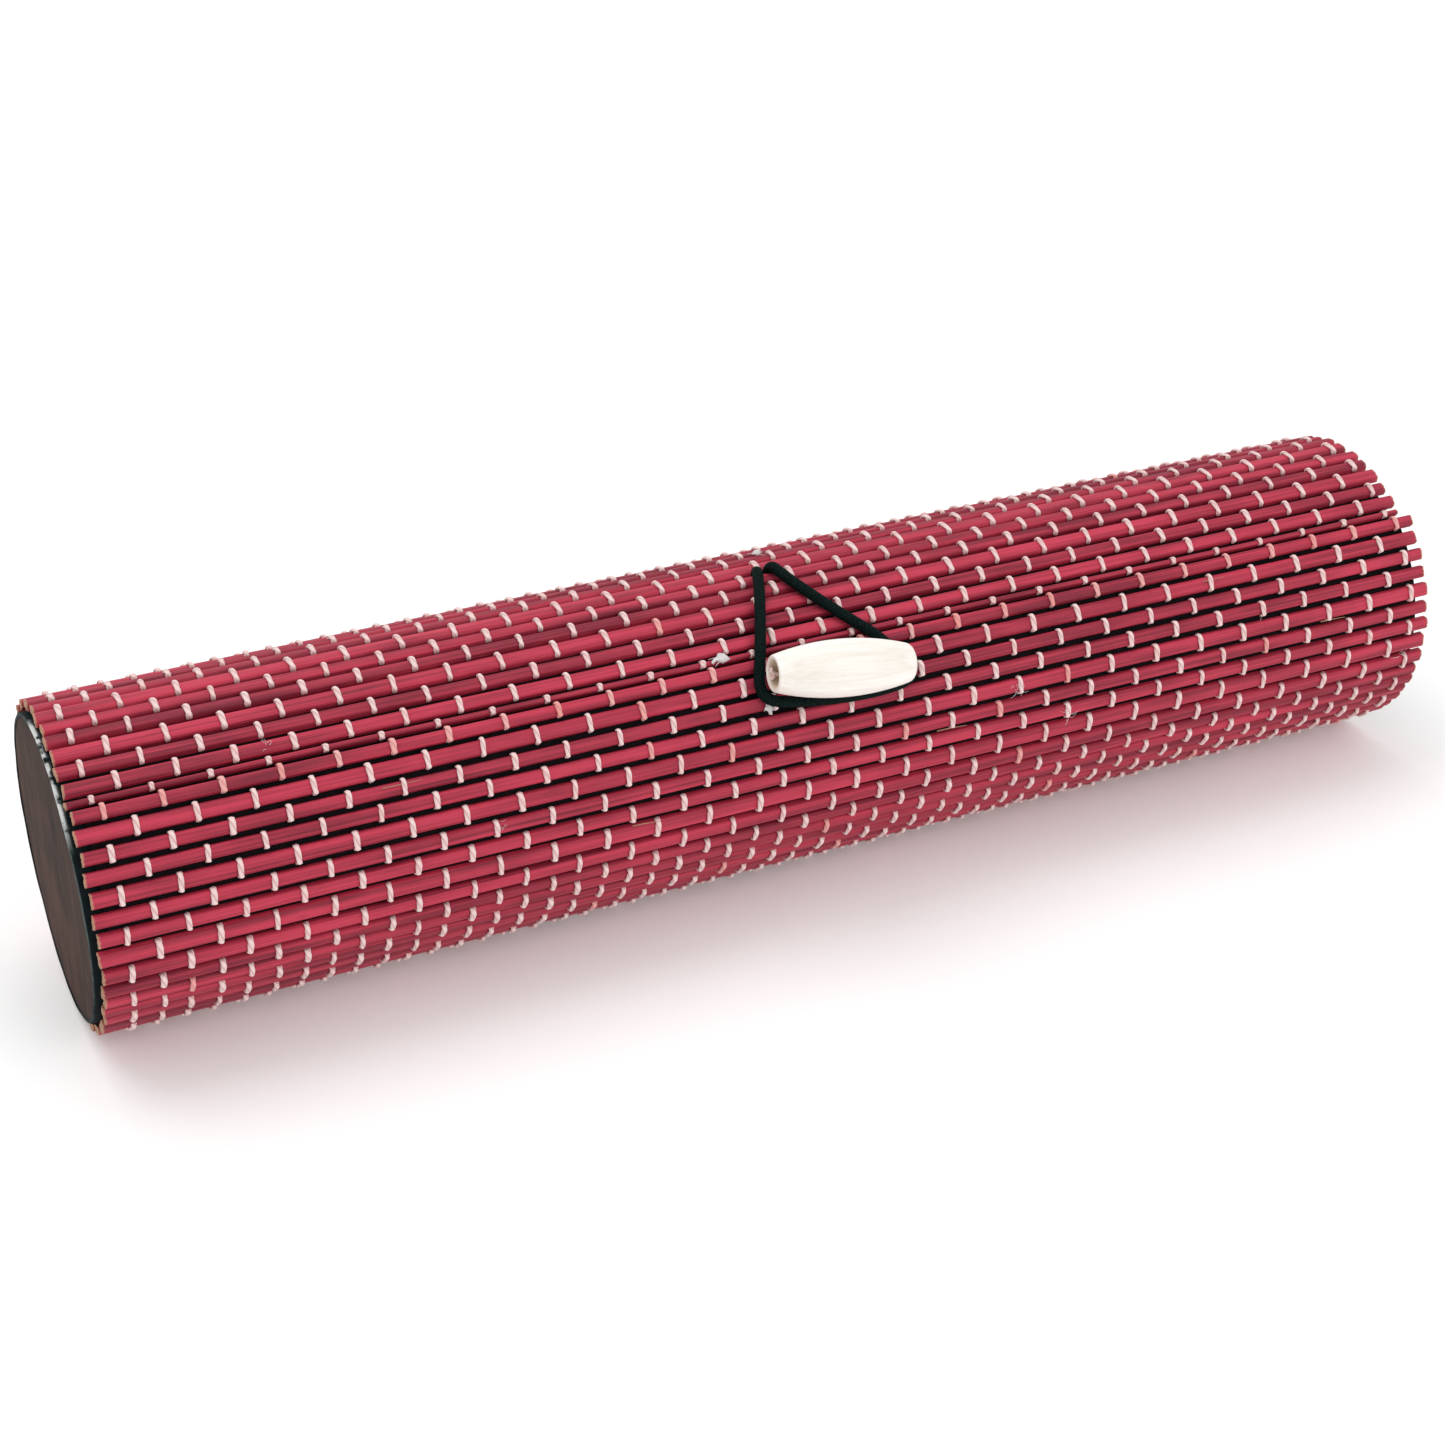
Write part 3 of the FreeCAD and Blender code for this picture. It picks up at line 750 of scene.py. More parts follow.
def stitch_pattern(material):
    """Stitches in rows along each slat: a two-ply thread that arches over it from gap to gap."""
    kit = Pattern("roll_case_stitches", {
        "Thread Radius": "NodeSocketFloat",
        "Arch Half Width": "NodeSocketFloat",
        "Depth": "NodeSocketFloat",
        "Twist": "NodeSocketFloat",
        "Pitch": "NodeSocketFloat",
        "Count": "NodeSocketInt",
        "Seed": "NodeSocketInt",
    })
    seed = kit.given("Seed")
    sides, rings = 8, 9
    inputs = {"Vertices": sides, "Side Segments": rings, "Radius": 1.0, "Depth": 2.0}
    cylinder = kit.node("GeometryNodeMeshCylinder", {"fill_type": "NGON"}, inputs)
    x, y, run = kit.separate(kit.place())
    seam = math.pi / sides
    turn = y.math("ARCTAN2", x)
    turn = turn + (turn < -0.01) * (2 * math.pi) - (math.pi / 2 - seam)
    thread = kit.store(kit.out(cylinder, "Mesh"), "thread_turn", turn)
    thread = kit.store(thread, "thread_run", run)
    turn, run = kit.named("thread_turn"), kit.named("thread_run")

    # the arch: a rounded rectangle over the slat, from one gap to the other
    radius, half, depth = kit.given("Thread Radius"), kit.given("Arch Half Width"), kit.given("Depth")
    angle = run * (math.pi / 2)
    sine, cosine = angle.math("SINE"), angle.math("COSINE").math("MAXIMUM", 0.0)
    side = sine.math("SIGN") * abs(sine) ** 0.62 * (half + radius * 0.35)
    rise = (cosine ** 0.42) * (depth + radius * 0.55) - depth
    ply = ((turn - run * kit.given("Twist")) * 2.0).math("COSINE")
    swell = radius * (1.0 + ply * 0.13)
    width_part = turn.math("COSINE") * swell
    thick_part = turn.math("SINE") * swell * 0.68
    position = kit.combine(width_part, side + thick_part * sine, rise + thick_part * cosine)
    thread = kit.moved(thread, Position=position)

    # a row of places along each slat
    number = kit.out(kit.node("GeometryNodeInputIndex"))
    inputs = {"Count": kit.given("Count"), "Offset": (1.0, 0.0, 0.0)}
    row = kit.node("GeometryNodeMeshLine", {"mode": "OFFSET"}, inputs)
    row = kit.store(kit.out(row), "number", number)
    spots = kit.instanced(kit.given("Geometry"), row, (0.0, 0.0, 0.0), (1e-6, 1.0, 1.0))
    spots = kit.out(kit.node("GeometryNodeRealizeInstances", {}, {0: spots}))
    number = kit.named("number")
    start = kit.named("first_x")
    x = start + number * kit.given("Pitch")
    x = x + kit.random(-0.22 * MM, 0.22 * MM, seed)
    spots = kit.moved(spots, Offset=kit.combine(x, 0.0, 0.0))
    spots = kit.store(spots, "thread_seed", kit.random(0.0, 1.0, seed + 1.0))
    lucky = kit.random(0.0, 1.0, seed + 2.0) > 1.0 - STAINED_SHARE
    stain = (kit.named("stain") * kit.random(0.55, 0.95, seed + 3.0)).math("MAXIMUM", lucky * 0.8)
    spots = kit.store(spots, "stain", stain.math("MAXIMUM", kit.random(-0.25, 0.16, seed + 4.0)))
    reach = abs(x - kit.named("middle_x"))
    beyond = reach > (kit.named("half_length") - STITCH_END_MARGIN)
    whole_points = {"domain": "POINT", "mode": "ALL"}
    inputs = {"Geometry": spots, "Selection": beyond}
    spots = kit.out(kit.node("GeometryNodeDeleteGeometry", whole_points, inputs))

    fatness = kit.random(0.86, 1.14, seed + 5.0)
    stretch = kit.named("half_width") / half
    flat = 1.0 - kit.named("press") * 0.72
    scale = kit.combine(fatness, stretch, flat * kit.random(0.94, 1.12, seed + 6.0))
    stitches = kit.instanced(spots, thread, kit.combine(kit.named("turn"), 0.0, 0.0), scale)
    slant = kit.combine(0.0, 0.0, kit.random(-0.11, 0.05, seed + 7.0))
    turned = kit.out(kit.node("FunctionNodeEulerToRotation", {}, {0: slant}))
    inputs = {"Instances": stitches, "Rotation": turned, "Local Space": True}
    stitches = kit.out(kit.node("GeometryNodeRotateInstances", {}, inputs))
    stitches = kit.out(kit.node("GeometryNodeRealizeInstances", {}, {0: stitches}))
    kit.finish(stitches, material)
    return kit


def lower_columns():
    s = settings()
    return s.first_column, s.first_column + s.column_pitch


def flap_columns():
    s = settings()
    return s.first_column + s.flap_column_shift, s.first_column + s.flap_column_shift + s.column_pitch


def weave_slats(kit, name, slats, columns, seed):
    s = settings()
    return kit.run(
        name, carrier_mesh(name, slats, columns), finish_named("dyed_bamboo"),
        Thickness=SLAT_THICKNESS, Unevenness=s.unevenness, End_Wear=s.end_wear,
        Length_Steps=s.length_steps, Seed=seed,
    )


def weave_stitches(kit, name, slats, columns, seed):
    s = settings()
    return kit.run(
        name, carrier_mesh(name, slats, columns), finish_named("cotton_thread"),
        Thread_Radius=s.thread_diameter / 2, Arch_Half_Width=STANDARD_HALF_WIDTH,
        Depth=STITCH_DEPTH, Twist=s.thread_twist, Pitch=2 * s.column_pitch,
        Count=STITCHES_IN_A_ROW, Seed=seed,
    )


# ---- plain mesh helpers ----------------------------------------------------------------------
def mesh_object(name, points, faces, material, smooth=True):
    mesh = bpy.data.meshes.new(name)
    mesh.from_pydata([tuple(p) for p in points], [], faces)
    mesh.validate()
    mesh.materials.append(material)
    mesh.polygons.foreach_set("use_smooth", [smooth] * len(mesh.polygons))
    return link_object(name, mesh)


def ring_faces(rings, sides, closed_run=False):
    """Quads between rings of points that each go once round, facing away from the middle."""
    faces = []
    last = rings if closed_run else rings - 1
    for i in range(last):
        a, b = i * sides, ((i + 1) % rings) * sides
        for j in range(sides):
            k = (j + 1) % sides
            faces.append((a + j, a + k, b + k, b + j))
    return faces


def vertex_values(piece, name, values, kind="FLOAT"):
    attribute = piece.data.attributes.new(name, kind, "POINT")
    field = "vector" if kind == "FLOAT_VECTOR" else "value"
    attribute.data.foreach_set(field, np.array(values, np.float32).ravel())


def facing_out(piece):
    """Turns the faces of a closed mesh outwards."""
    work = bmesh.new()
    work.from_mesh(piece.data)
    bmesh.ops.remove_doubles(work, verts=work.verts, dist=1e-7)
    bmesh.ops.recalc_face_normals(work, faces=work.faces)
    work.to_mesh(piece.data)
    work.free()
    return piece


def settle(piece, body, slot, *nodes):
    """A finished piece rides on its body and stands for its frame nodes; its slot is not used."""
    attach(piece, body)
    if nodes:
        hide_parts(*nodes)


# ---- the lining ------------------------------------------------------------------------------
def lining_span(name, first_angle, last_angle, left, right):
    """A closed strip of lining between two angles, bent round the case."""
    steps_round, steps_along = 6, 44
    inner, outer = LINING_RADIUS, SLAT_INNER_RADIUS - 0.02 * MM
    section = []
    angles = np.linspace(first_angle, last_angle, steps_round + 1)
    section += [(a, inner) for a in angles]
    section += [(a, outer) for a in reversed(angles)]
    points = []
    for x in np.linspace(left, right, steps_along + 1):
        for angle, radius in section:
            points.append(on_case(x, angle, radius))
    sides = len(section)
    faces = ring_faces(steps_along + 1, sides)
    faces.append(tuple(range(sides)))
    last = steps_along * sides
    faces.append(tuple(reversed(range(last, last + sides))))
    piece = mesh_object(name, points, faces, finish_named("lining_cloth"), smooth=False)
    return facing_out(piece)


# ---- the closure -----------------------------------------------------------------------------
BEAD_LENGTH = 27.2 * MM
BEAD_RADIUS = 5.35 * MM
BEAD_END_RADIUS = 3.4 * MM
BEAD_BORE_RADIUS = 1.4 * MM
BEAD_CLEARANCE = 1.25 * MM
BEAD_X = 2.1 * MM
BEAD_ANGLE = 37.5
BEAD_SKEW = 7.3
TIE_RADIUS = 0.45 * MM
TIE_TWIST = 2400.0
TIE_PLY = 0.14
BEAD_CENTRE = on_case(BEAD_X, BEAD_ANGLE, MAT_RADIUS + BEAD_CLEARANCE + BEAD_RADIUS)
BEAD_OUT = outward(BEAD_ANGLE)
BEAD_ALONG = (
    Vector((1, 0, 0)) * math.cos(math.radians(BEAD_SKEW))
    - upward_round(BEAD_ANGLE) * math.sin(math.radians(BEAD_SKEW))
)
BEAD_ACROSS = BEAD_OUT.cross(BEAD_ALONG)


def by_bead(along, across, out):
    """A point given along the bead's bore, across it and away from the mat, from its centre."""
    return BEAD_CENTRE + BEAD_ALONG * along + BEAD_ACROSS * across + BEAD_OUT * out


def bead_outline():
    """Half of the bead's section, from its bore's left mouth over the barrel to the right one."""
    half = BEAD_LENGTH / 2
    bulge = BEAD_RADIUS - BEAD_END_RADIUS
    curve = (half ** 2 + bulge ** 2) / (2 * bulge)

    def barrel(x):
        return BEAD_RADIUS - curve + math.sqrt(curve ** 2 - x ** 2)

    def mouth(side, edge):
        """The bore, its flared mouth and the rounded edge of one end."""
        bore = [(-3.4 * MM, BEAD_BORE_RADIUS, 1.0), (-2.0 * MM, 1.8 * MM, 1.0), (-0.45 * MM, 2.45 * MM, 0.85)]
        lip = [(-0.04 * MM, 2.75 * MM, 0.35), (0.0, BEAD_END_RADIUS - edge * 0.8, 0.0)]
        corner = []
        for turn in np.linspace(0.2, 1.0, 4) * math.pi / 2:
            x = -edge * (1 - math.cos(turn))
            corner.append((x, barrel(half + x) - edge * 0.8 * (1 - math.sin(turn)), 0.0))
        return [(side * (half + x), radius, inside) for x, radius, inside in bore + lip + corner]

    left, right = mouth(-1, 0.3 * MM), mouth(1, 1.0 * MM)
    middle = [(x, barrel(x), 0.0) for x in np.linspace(-0.9 * half, 0.88 * half, 25)]
    return left + middle + right[::-1]


def make_bead():
    outline = bead_outline()
    sides = 56
    points, grains, bores = [], [], []
    for x, radius, inside in outline:
        for k in range(sides):
            turn = 2 * math.pi * k / sides
            ripple = 0.991 + 0.005 * math.sin(3 * turn + 40 * x) + 0.003 * math.sin(5 * turn - 90 * x)
            across, out = radius * ripple * math.cos(turn), radius * ripple * math.sin(turn)
            points.append(by_bead(x, across, out))
            grains.append((x, across, out))
            bores.append(inside)
    faces = ring_faces(len(outline), sides, closed_run=True)
    piece = mesh_object("toggle_bead_turned", points, faces, finish_named("bead_wood"))
    vertex_values(piece, "grain", grains, "FLOAT_VECTOR")
    vertex_values(piece, "bore", bores)
    return facing_out(piece)


def swept(name, path, radius, sides, material, twist=0.0, ply=0.0):
    """A closed round or two-ply tube along a path, with thread or cord coordinates."""
    path = [Vector(p) for p in path]
    count = len(path)
    tangents = [(path[min(i + 1, count - 1)] - path[max(i - 1, 0)]).normalized() for i in range(count)]
    normal = tangents[0].orthogonal().normalized()
    runs = [0.0]
    for a, b in zip(path, path[1:]):
        runs.append(runs[-1] + (b - a).length)
    points, turns, lengths = [], [], []
    for i, (centre, tangent) in enumerate(zip(path, tangents)):
        normal = (normal - tangent * normal.dot(tangent)).normalized()
        binormal = tangent.cross(normal)
        for k in range(sides):
            turn = 2 * math.pi * k / sides
            swell = radius * (1 + ply * math.cos(2 * (turn - twist * runs[i])))
            points.append(centre + normal * (swell * math.cos(turn)) + binormal * (swell * math.sin(turn)))
            turns.append(turn)
            lengths.append(runs[i])
    faces = ring_faces(count, sides)
    faces.append(tuple(reversed(range(sides))))
    faces.append(tuple(range((count - 1) * sides, count * sides)))
    piece = mesh_object(name, points, faces, material)
    uv = piece.data.uv_layers.new(name="cord")
    for polygon in piece.data.polygons:
        columns = {v % sides for v in polygon.vertices}
        wraps = len(polygon.vertices) == 4 and len(columns & {0, sides - 1}) == 2
        for loop, v in zip(polygon.loop_indices, polygon.vertices):
            around = (v % sides) / sides
            around = 1.0 if wraps and v % sides == 0 else around
            uv.data[loop].uv = (lengths[v], around)
    vertex_values(piece, "thread_turn", turns)
    vertex_values(piece, "thread_run", [length / (3 * MM) for length in lengths])
    return piece


def smooth_route(name, points, resolution):
    """Points along the smooth open spline whose control points are a route's."""
    curve = bpy.data.curves.new(name + "_route", "CURVE")
    curve.dimensions = "3D"
    curve.resolution_u = resolution
    spline = curve.splines.new("NURBS")
    spline.points.add(len(points) - 1)
    for knot, point in zip(spline.points, points):
        knot.co = (*point, 1.0)
    spline.order_u = 3
    spline.use_endpoint_u = True
    holder = link_object(name + "_route", curve)
    depsgraph = bpy.context.evaluated_depsgraph_get()
    mesh = bpy.data.meshes.new_from_object(holder.evaluated_get(depsgraph))
    line = [v.co.copy() for v in mesh.vertices]
    bpy.data.meshes.remove(mesh)
    bpy.data.objects.remove(holder)
    bpy.data.curves.remove(curve)
    return line


CORD_DIAMETER = 2.1 * MM
CORD_RISE = 0.3 * MM
BEND_RISE = 0.65 * MM
EXIT_DEPTH = 2.4 * MM
ANCHOR_X = -0.95 * MM
ANCHOR_SPREAD = 2.3 * MM
ANCHOR_SLAT = 6
ANCHOR_ANGLE = flap_places[ANCHOR_SLAT - 1][0] + flap_places[ANCHOR_SLAT - 1][1] / 2
# Place along the case in millimetres and angle round it, from the left strand round to the right.
LOOP_ROUTE = [
    (-4.7, 74.5), (-7.6, 62.0), (-10.4, 49.0), (-12.5, 39.0), (-11.6, 33.2),
    (-5.4, 30.6), (5.0, 28.4), (13.6, 28.4), (18.2, 30.6), (17.3, 36.0),
    (12.9, 47.0), (9.2, 54.5), (6.0, 62.0), (3.2, 70.5), (1.4, 78.5),
]


def loop_radius(angle):
    """The cord's distance from the axis: it climbs over the closing edge slat."""
    edge_angle, edge_pitch = front_places[0]
    climb = EDGE_SLAT_RISE if abs(angle - edge_angle) < edge_pitch else 0.0
    return MAT_RADIUS + CORD_DIAMETER / 2 + CORD_RISE + climb


def strand_end(side):
    """The first points of one strand: up through the mat, then over its surface."""
    x = ANCHOR_X + side * ANCHOR_SPREAD / 2
    inside = on_case(x, ANCHOR_ANGLE, MAT_RADIUS - EXIT_DEPTH)
    corner = on_case(x, ANCHOR_ANGLE, MAT_RADIUS + CORD_DIAMETER / 2 + BEND_RISE)
    return [inside, corner]


def loop_points():
    middle = [on_case(x * MM, angle, loop_radius(angle)) for x, angle in LOOP_ROUTE]
    return strand_end(-1) + middle + strand_end(1)[::-1]


# ---- settings --------------------------------------------------------------------------------
def length_property(label, text, value):
    return FloatProperty(name=label, description=text, default=value, unit="LENGTH", precision=5)


def color_property(label, text, value):
    return FloatVectorProperty(
        name=label, description=text, default=value, subtype="COLOR", size=3, min=0.0, max=1.0
    )


class RollCaseSettings(bpy.types.PropertyGroup):
    column_pitch: length_property("Column pitch", "Between neighbouring columns of stitches", 5.026 * MM)
    first_column: length_property("First column", "Place of the first column of the lower mat", -130.4 * MM)
    flap_column_shift: length_property(
        "Flap column shift", "From the lower mat's columns to the flap's", -1.3 * MM
    )
    thread_diameter: length_property("Thread", "Diameter of the weaving thread", 0.98 * MM)
    unevenness: length_property("Unevenness", "How far a slat bends or dents", 0.19 * MM)
    end_wear: length_property("End wear", "How ragged a slat's cut end is", 0.45 * MM)
    thread_twist: FloatProperty(
        name="Twist", description="Turn of the plies in half a stitch, in radians", default=3.6
    )
    length_steps: IntProperty(name="Length steps", description="Points along a slat", default=72, min=8)
    braid_strands: IntProperty(
        name="Braid strands", description="Strands round the elastic", default=8, min=4
    )
    dye_color: color_property("Dye", "Brightest dyed bamboo", (0.545, 0.038, 0.078))
    dark_dye_color: color_property("Dark dye", "Darkest dyed bamboo", (0.185, 0.010, 0.026))
    raw_color: color_property("Raw bamboo", "Cut ends", (0.56, 0.33, 0.21))
    thread_color: color_property("Thread", "Clean cotton", (0.96, 0.70, 0.68))
    stained_color: color_property("Stained thread", "Cotton that took up dye", (0.82, 0.24, 0.21))
    bead_color: color_property("Bead", "Pale wood", (0.97, 0.935, 0.885))
    bead_dark_color: color_property("Bead grain", "Darker wood between the grain", (0.80, 0.74, 0.66))
    floor_color: color_property("Floor", "The surface that the case lies on", (0.93, 0.93, 0.93))


# ---- operators -------------------------------------------------------------------------------
class RollCaseOperator:
    bl_options = {"REGISTER", "UNDO"}


class ROLLCASE_OT_slats(RollCaseOperator, bpy.types.Operator):
    """Slats of the lower mat and of each link of the flap"""
    bl_idname = "rollcase.slats"
    bl_label = "Slats"

    def execute(self, context):
        kit = slat_pattern(finish_named("dyed_bamboo"))
        lower = weave_slats(kit, "lower_slats", lower_slats(), lower_columns(), 11)
        nodes = ["closing_edge_slat", "front_slats_upper", "front_slats_lower", "base_slats", "back_slats"]
        settle(lower, "case", "dyed_bamboo", *nodes)
        for number, (link, slat) in enumerate(zip(FLAP_LINKS, flap_slats()), start=1):
            piece = weave_slats(kit, f"flap_strip_{number:02d}", [slat], flap_columns(), 40 + number)
            settle(piece, link, "dyed_bamboo", f"flap_slat_{number:02d}")
        return {"FINISHED"}


class ROLLCASE_OT_stitches(RollCaseOperator, bpy.types.Operator):
    """Stitches of cotton thread over the slats"""
    bl_idname = "rollcase.stitches"
    bl_label = "Stitches"

    def execute(self, context):
        kit = stitch_pattern(finish_named("cotton_thread"))
        lower = weave_stitches(kit, "lower_stitches", lower_slats(), lower_columns(), 3)
        settle(lower, "case", "cotton_thread")
        for number, (link, slat) in enumerate(zip(FLAP_LINKS, flap_slats()), start=1):
            name = f"flap_stitches_{number:02d}"
            piece = weave_stitches(kit, name, [slat], flap_columns(), 70 + 9 * number)
            settle(piece, link, "cotton_thread")
        return {"FINISHED"}


class ROLLCASE_OT_lining(RollCaseOperator, bpy.types.Operator):
    """Lining of the case, and strips of lining under the flap from slat to slat"""
    bl_idname = "rollcase.lining"
    bl_label = "Lining"

    def execute(self, context):
        for name in ("lining_front", "lining_base", "lining_back"):
            paint(name, "lining_cloth")
        for side in ("left", "right"):
            paint(f"seat_tape_{side}", "seat_tape")
        low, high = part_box("flap_lining_02")
        slats = flap_slats()
        last = len(slats) - 1
        for index, slat in enumerate(slats):
            behind = FLAP_ROOT_ANGLE if index == 0 else slats[index - 1].angle
            ahead = SEAM_ANGLE + 0.3 if index == last else slat.angle
            name = f"flap_cloth_{index + 1:02d}"
            piece = lining_span(name, behind, ahead, low.x, high.x)
            parent = "case" if index == 0 else FLAP_LINKS[index - 1]
            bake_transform(piece)
            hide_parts(f"flap_lining_{index + 1:02d}")
        return {"FINISHED"}


class ROLLCASE_OT_ends(RollCaseOperator, bpy.types.Operator):
    """The two end boards and the cloth round their rims"""
    bl_idname = "rollcase.ends"
    bl_label = "Ends"

    def execute(self, context):
        for side, inward in (("left", 1), ("right", -1)):
            paint(f"end_disc_{side}", "brown_board")
            piece = self.rim_band(side, inward)
            settle(piece, "case", "rim_cloth", f"rim_cloth_{side}")
        return {"FINISHED"}

    def rim_band(self, side, inward):
        """Cloth turned round a board's rim, with a lip over the edge of its face."""
        board_low, board_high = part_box(f"end_disc_{side}")
        cloth_low, cloth_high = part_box(f"rim_cloth_{side}")
        face = board_low.x if inward > 0 else board_high.x
        far = cloth_high.x if inward > 0 else cloth_low.x
        board_radius = (board_high.z - board_low.z) / 2
        outer = (cloth_high.z - cloth_low.z) / 2
        depth = abs(far - face)
        section = [
            (depth, board_radius + 0.05 * MM, 0.0), (depth, outer, 0.0), (depth * 0.6, outer, 0.0),
            (depth * 0.2, outer, 0.1), (0.5 * MM, outer, 0.3), (0.1 * MM, outer - 0.03 * MM, 0.7),
            (-0.12 * MM, outer - 0.15 * MM, 1.0), (-0.2 * MM, outer - 0.38 * MM, 1.0),
            (-0.16 * MM, board_radius - 0.25 * MM, 0.9), (0.02 * MM, board_radius - 0.35 * MM, 0.6),
            (0.45 * MM, board_radius - 0.2 * MM, 0.2), (0.6 * MM, board_radius + 0.05 * MM, 0.0),
        ]
        turns = 220
        points, folds = [], []
        for k in range(turns):
            turn = 2 * math.pi * k / turns
            wave = math.sin(5 * turn + 0.7) + 0.6 * math.sin(11 * turn + 2.1) + 0.4 * math.sin(23 * turn)
            for x, radius, fold in section:
                shift = 0.035 * MM * wave * fold
                points.append(on_case(face + inward * (x + shift), math.degrees(turn), radius - shift * 0.8))
                folds.append(fold)
        faces = ring_faces(turns, len(section), closed_run=True)
        piece = mesh_object(f"rim_band_{side}", points, faces, finish_named("rim_cloth"))
        vertex_values(piece, "fold", folds)
        return facing_out(piece)


class ROLLCASE_OT_bead(RollCaseOperator, bpy.types.Operator):
    """The wooden bead, the thread that ties it down and its knot"""
    bl_idname = "rollcase.bead"
    bl_label = "Bead"

    def execute(self, context):
        settle(make_bead(), "toggle", "bead_wood", "toggle_bead")
        lip = -BEAD_LENGTH / 2
        knot_path = [
            by_bead(lip + 7.0 * MM, 0, -0.6 * MM), by_bead(lip + 3.0 * MM, 0, -0.9 * MM),
            by_bead(lip + 0.9 * MM, 0.1 * MM, -1.4 * MM), by_bead(lip + 0.1 * MM, 0.5 * MM, -1.2 * MM),
            by_bead(lip + 0.5 * MM, 0.9 * MM, -1.7 * MM), by_bead(lip + 1.0 * MM, 0.2 * MM, -1.3 * MM),
            by_bead(lip + 0.3 * MM, -0.6 * MM, -1.2 * MM), by_bead(lip + 0.2 * MM, -0.3 * MM, -1.9 * MM),
            by_bead(lip + 0.9 * MM, 0.5 * MM, -1.5 * MM), by_bead(lip + 0.2 * MM, 1.2 * MM, -1.1 * MM),
        ]
        line = smooth_route("knot", knot_path, 6)
        cotton = finish_named("cotton_thread")
        knot = swept("bead_knot_thread", line, TIE_RADIUS * 0.85, 8, cotton, TIE_TWIST, TIE_PLY)
        settle(knot, "toggle", "cotton_thread", "bead_tie_knot", "bead_thread")
        foot = on_case(BEAD_X, BEAD_ANGLE - 1.4, MAT_RADIUS - 1.0 * MM)
        under = by_bead(0, 0, -BEAD_RADIUS - 0.6 * MM)
        line = smooth_route("tie", [foot, under, by_bead(0, 0, -BEAD_RADIUS + 0.6 * MM)], 6)
        tie = swept("bead_tie_thread", line, TIE_RADIUS, 8, cotton, TIE_TWIST, TIE_PLY)
        settle(tie, "case", "cotton_thread", "bead_tie")
        return {"FINISHED"}


class ROLLCASE_OT_loop(RollCaseOperator, bpy.types.Operator):
    """The elastic loop, hooked round the bead, and its knot inside the flap"""
    bl_idname = "rollcase.loop"
    bl_label = "Loop"

    def execute(self, context):
        line = smooth_route("loop", loop_points(), 12)
        piece = swept("elastic_loop", line, CORD_DIAMETER / 2, 16, finish_named("elastic_cord"))
        settle(piece, "loop", "elastic_cord", "loop_cord")
        paint("loop_knot", "elastic_cord")
        return {"FINISHED"}


def needle_faces(first):
    """Faces of a closed three-sided needle made of four rings, from its first point's number."""
    faces = [tuple(first + place for place in face) for face in ring_faces(4, 3)]
    return faces + [(first + 2, first + 1, first), (first + 9, first + 10, first + 11)]


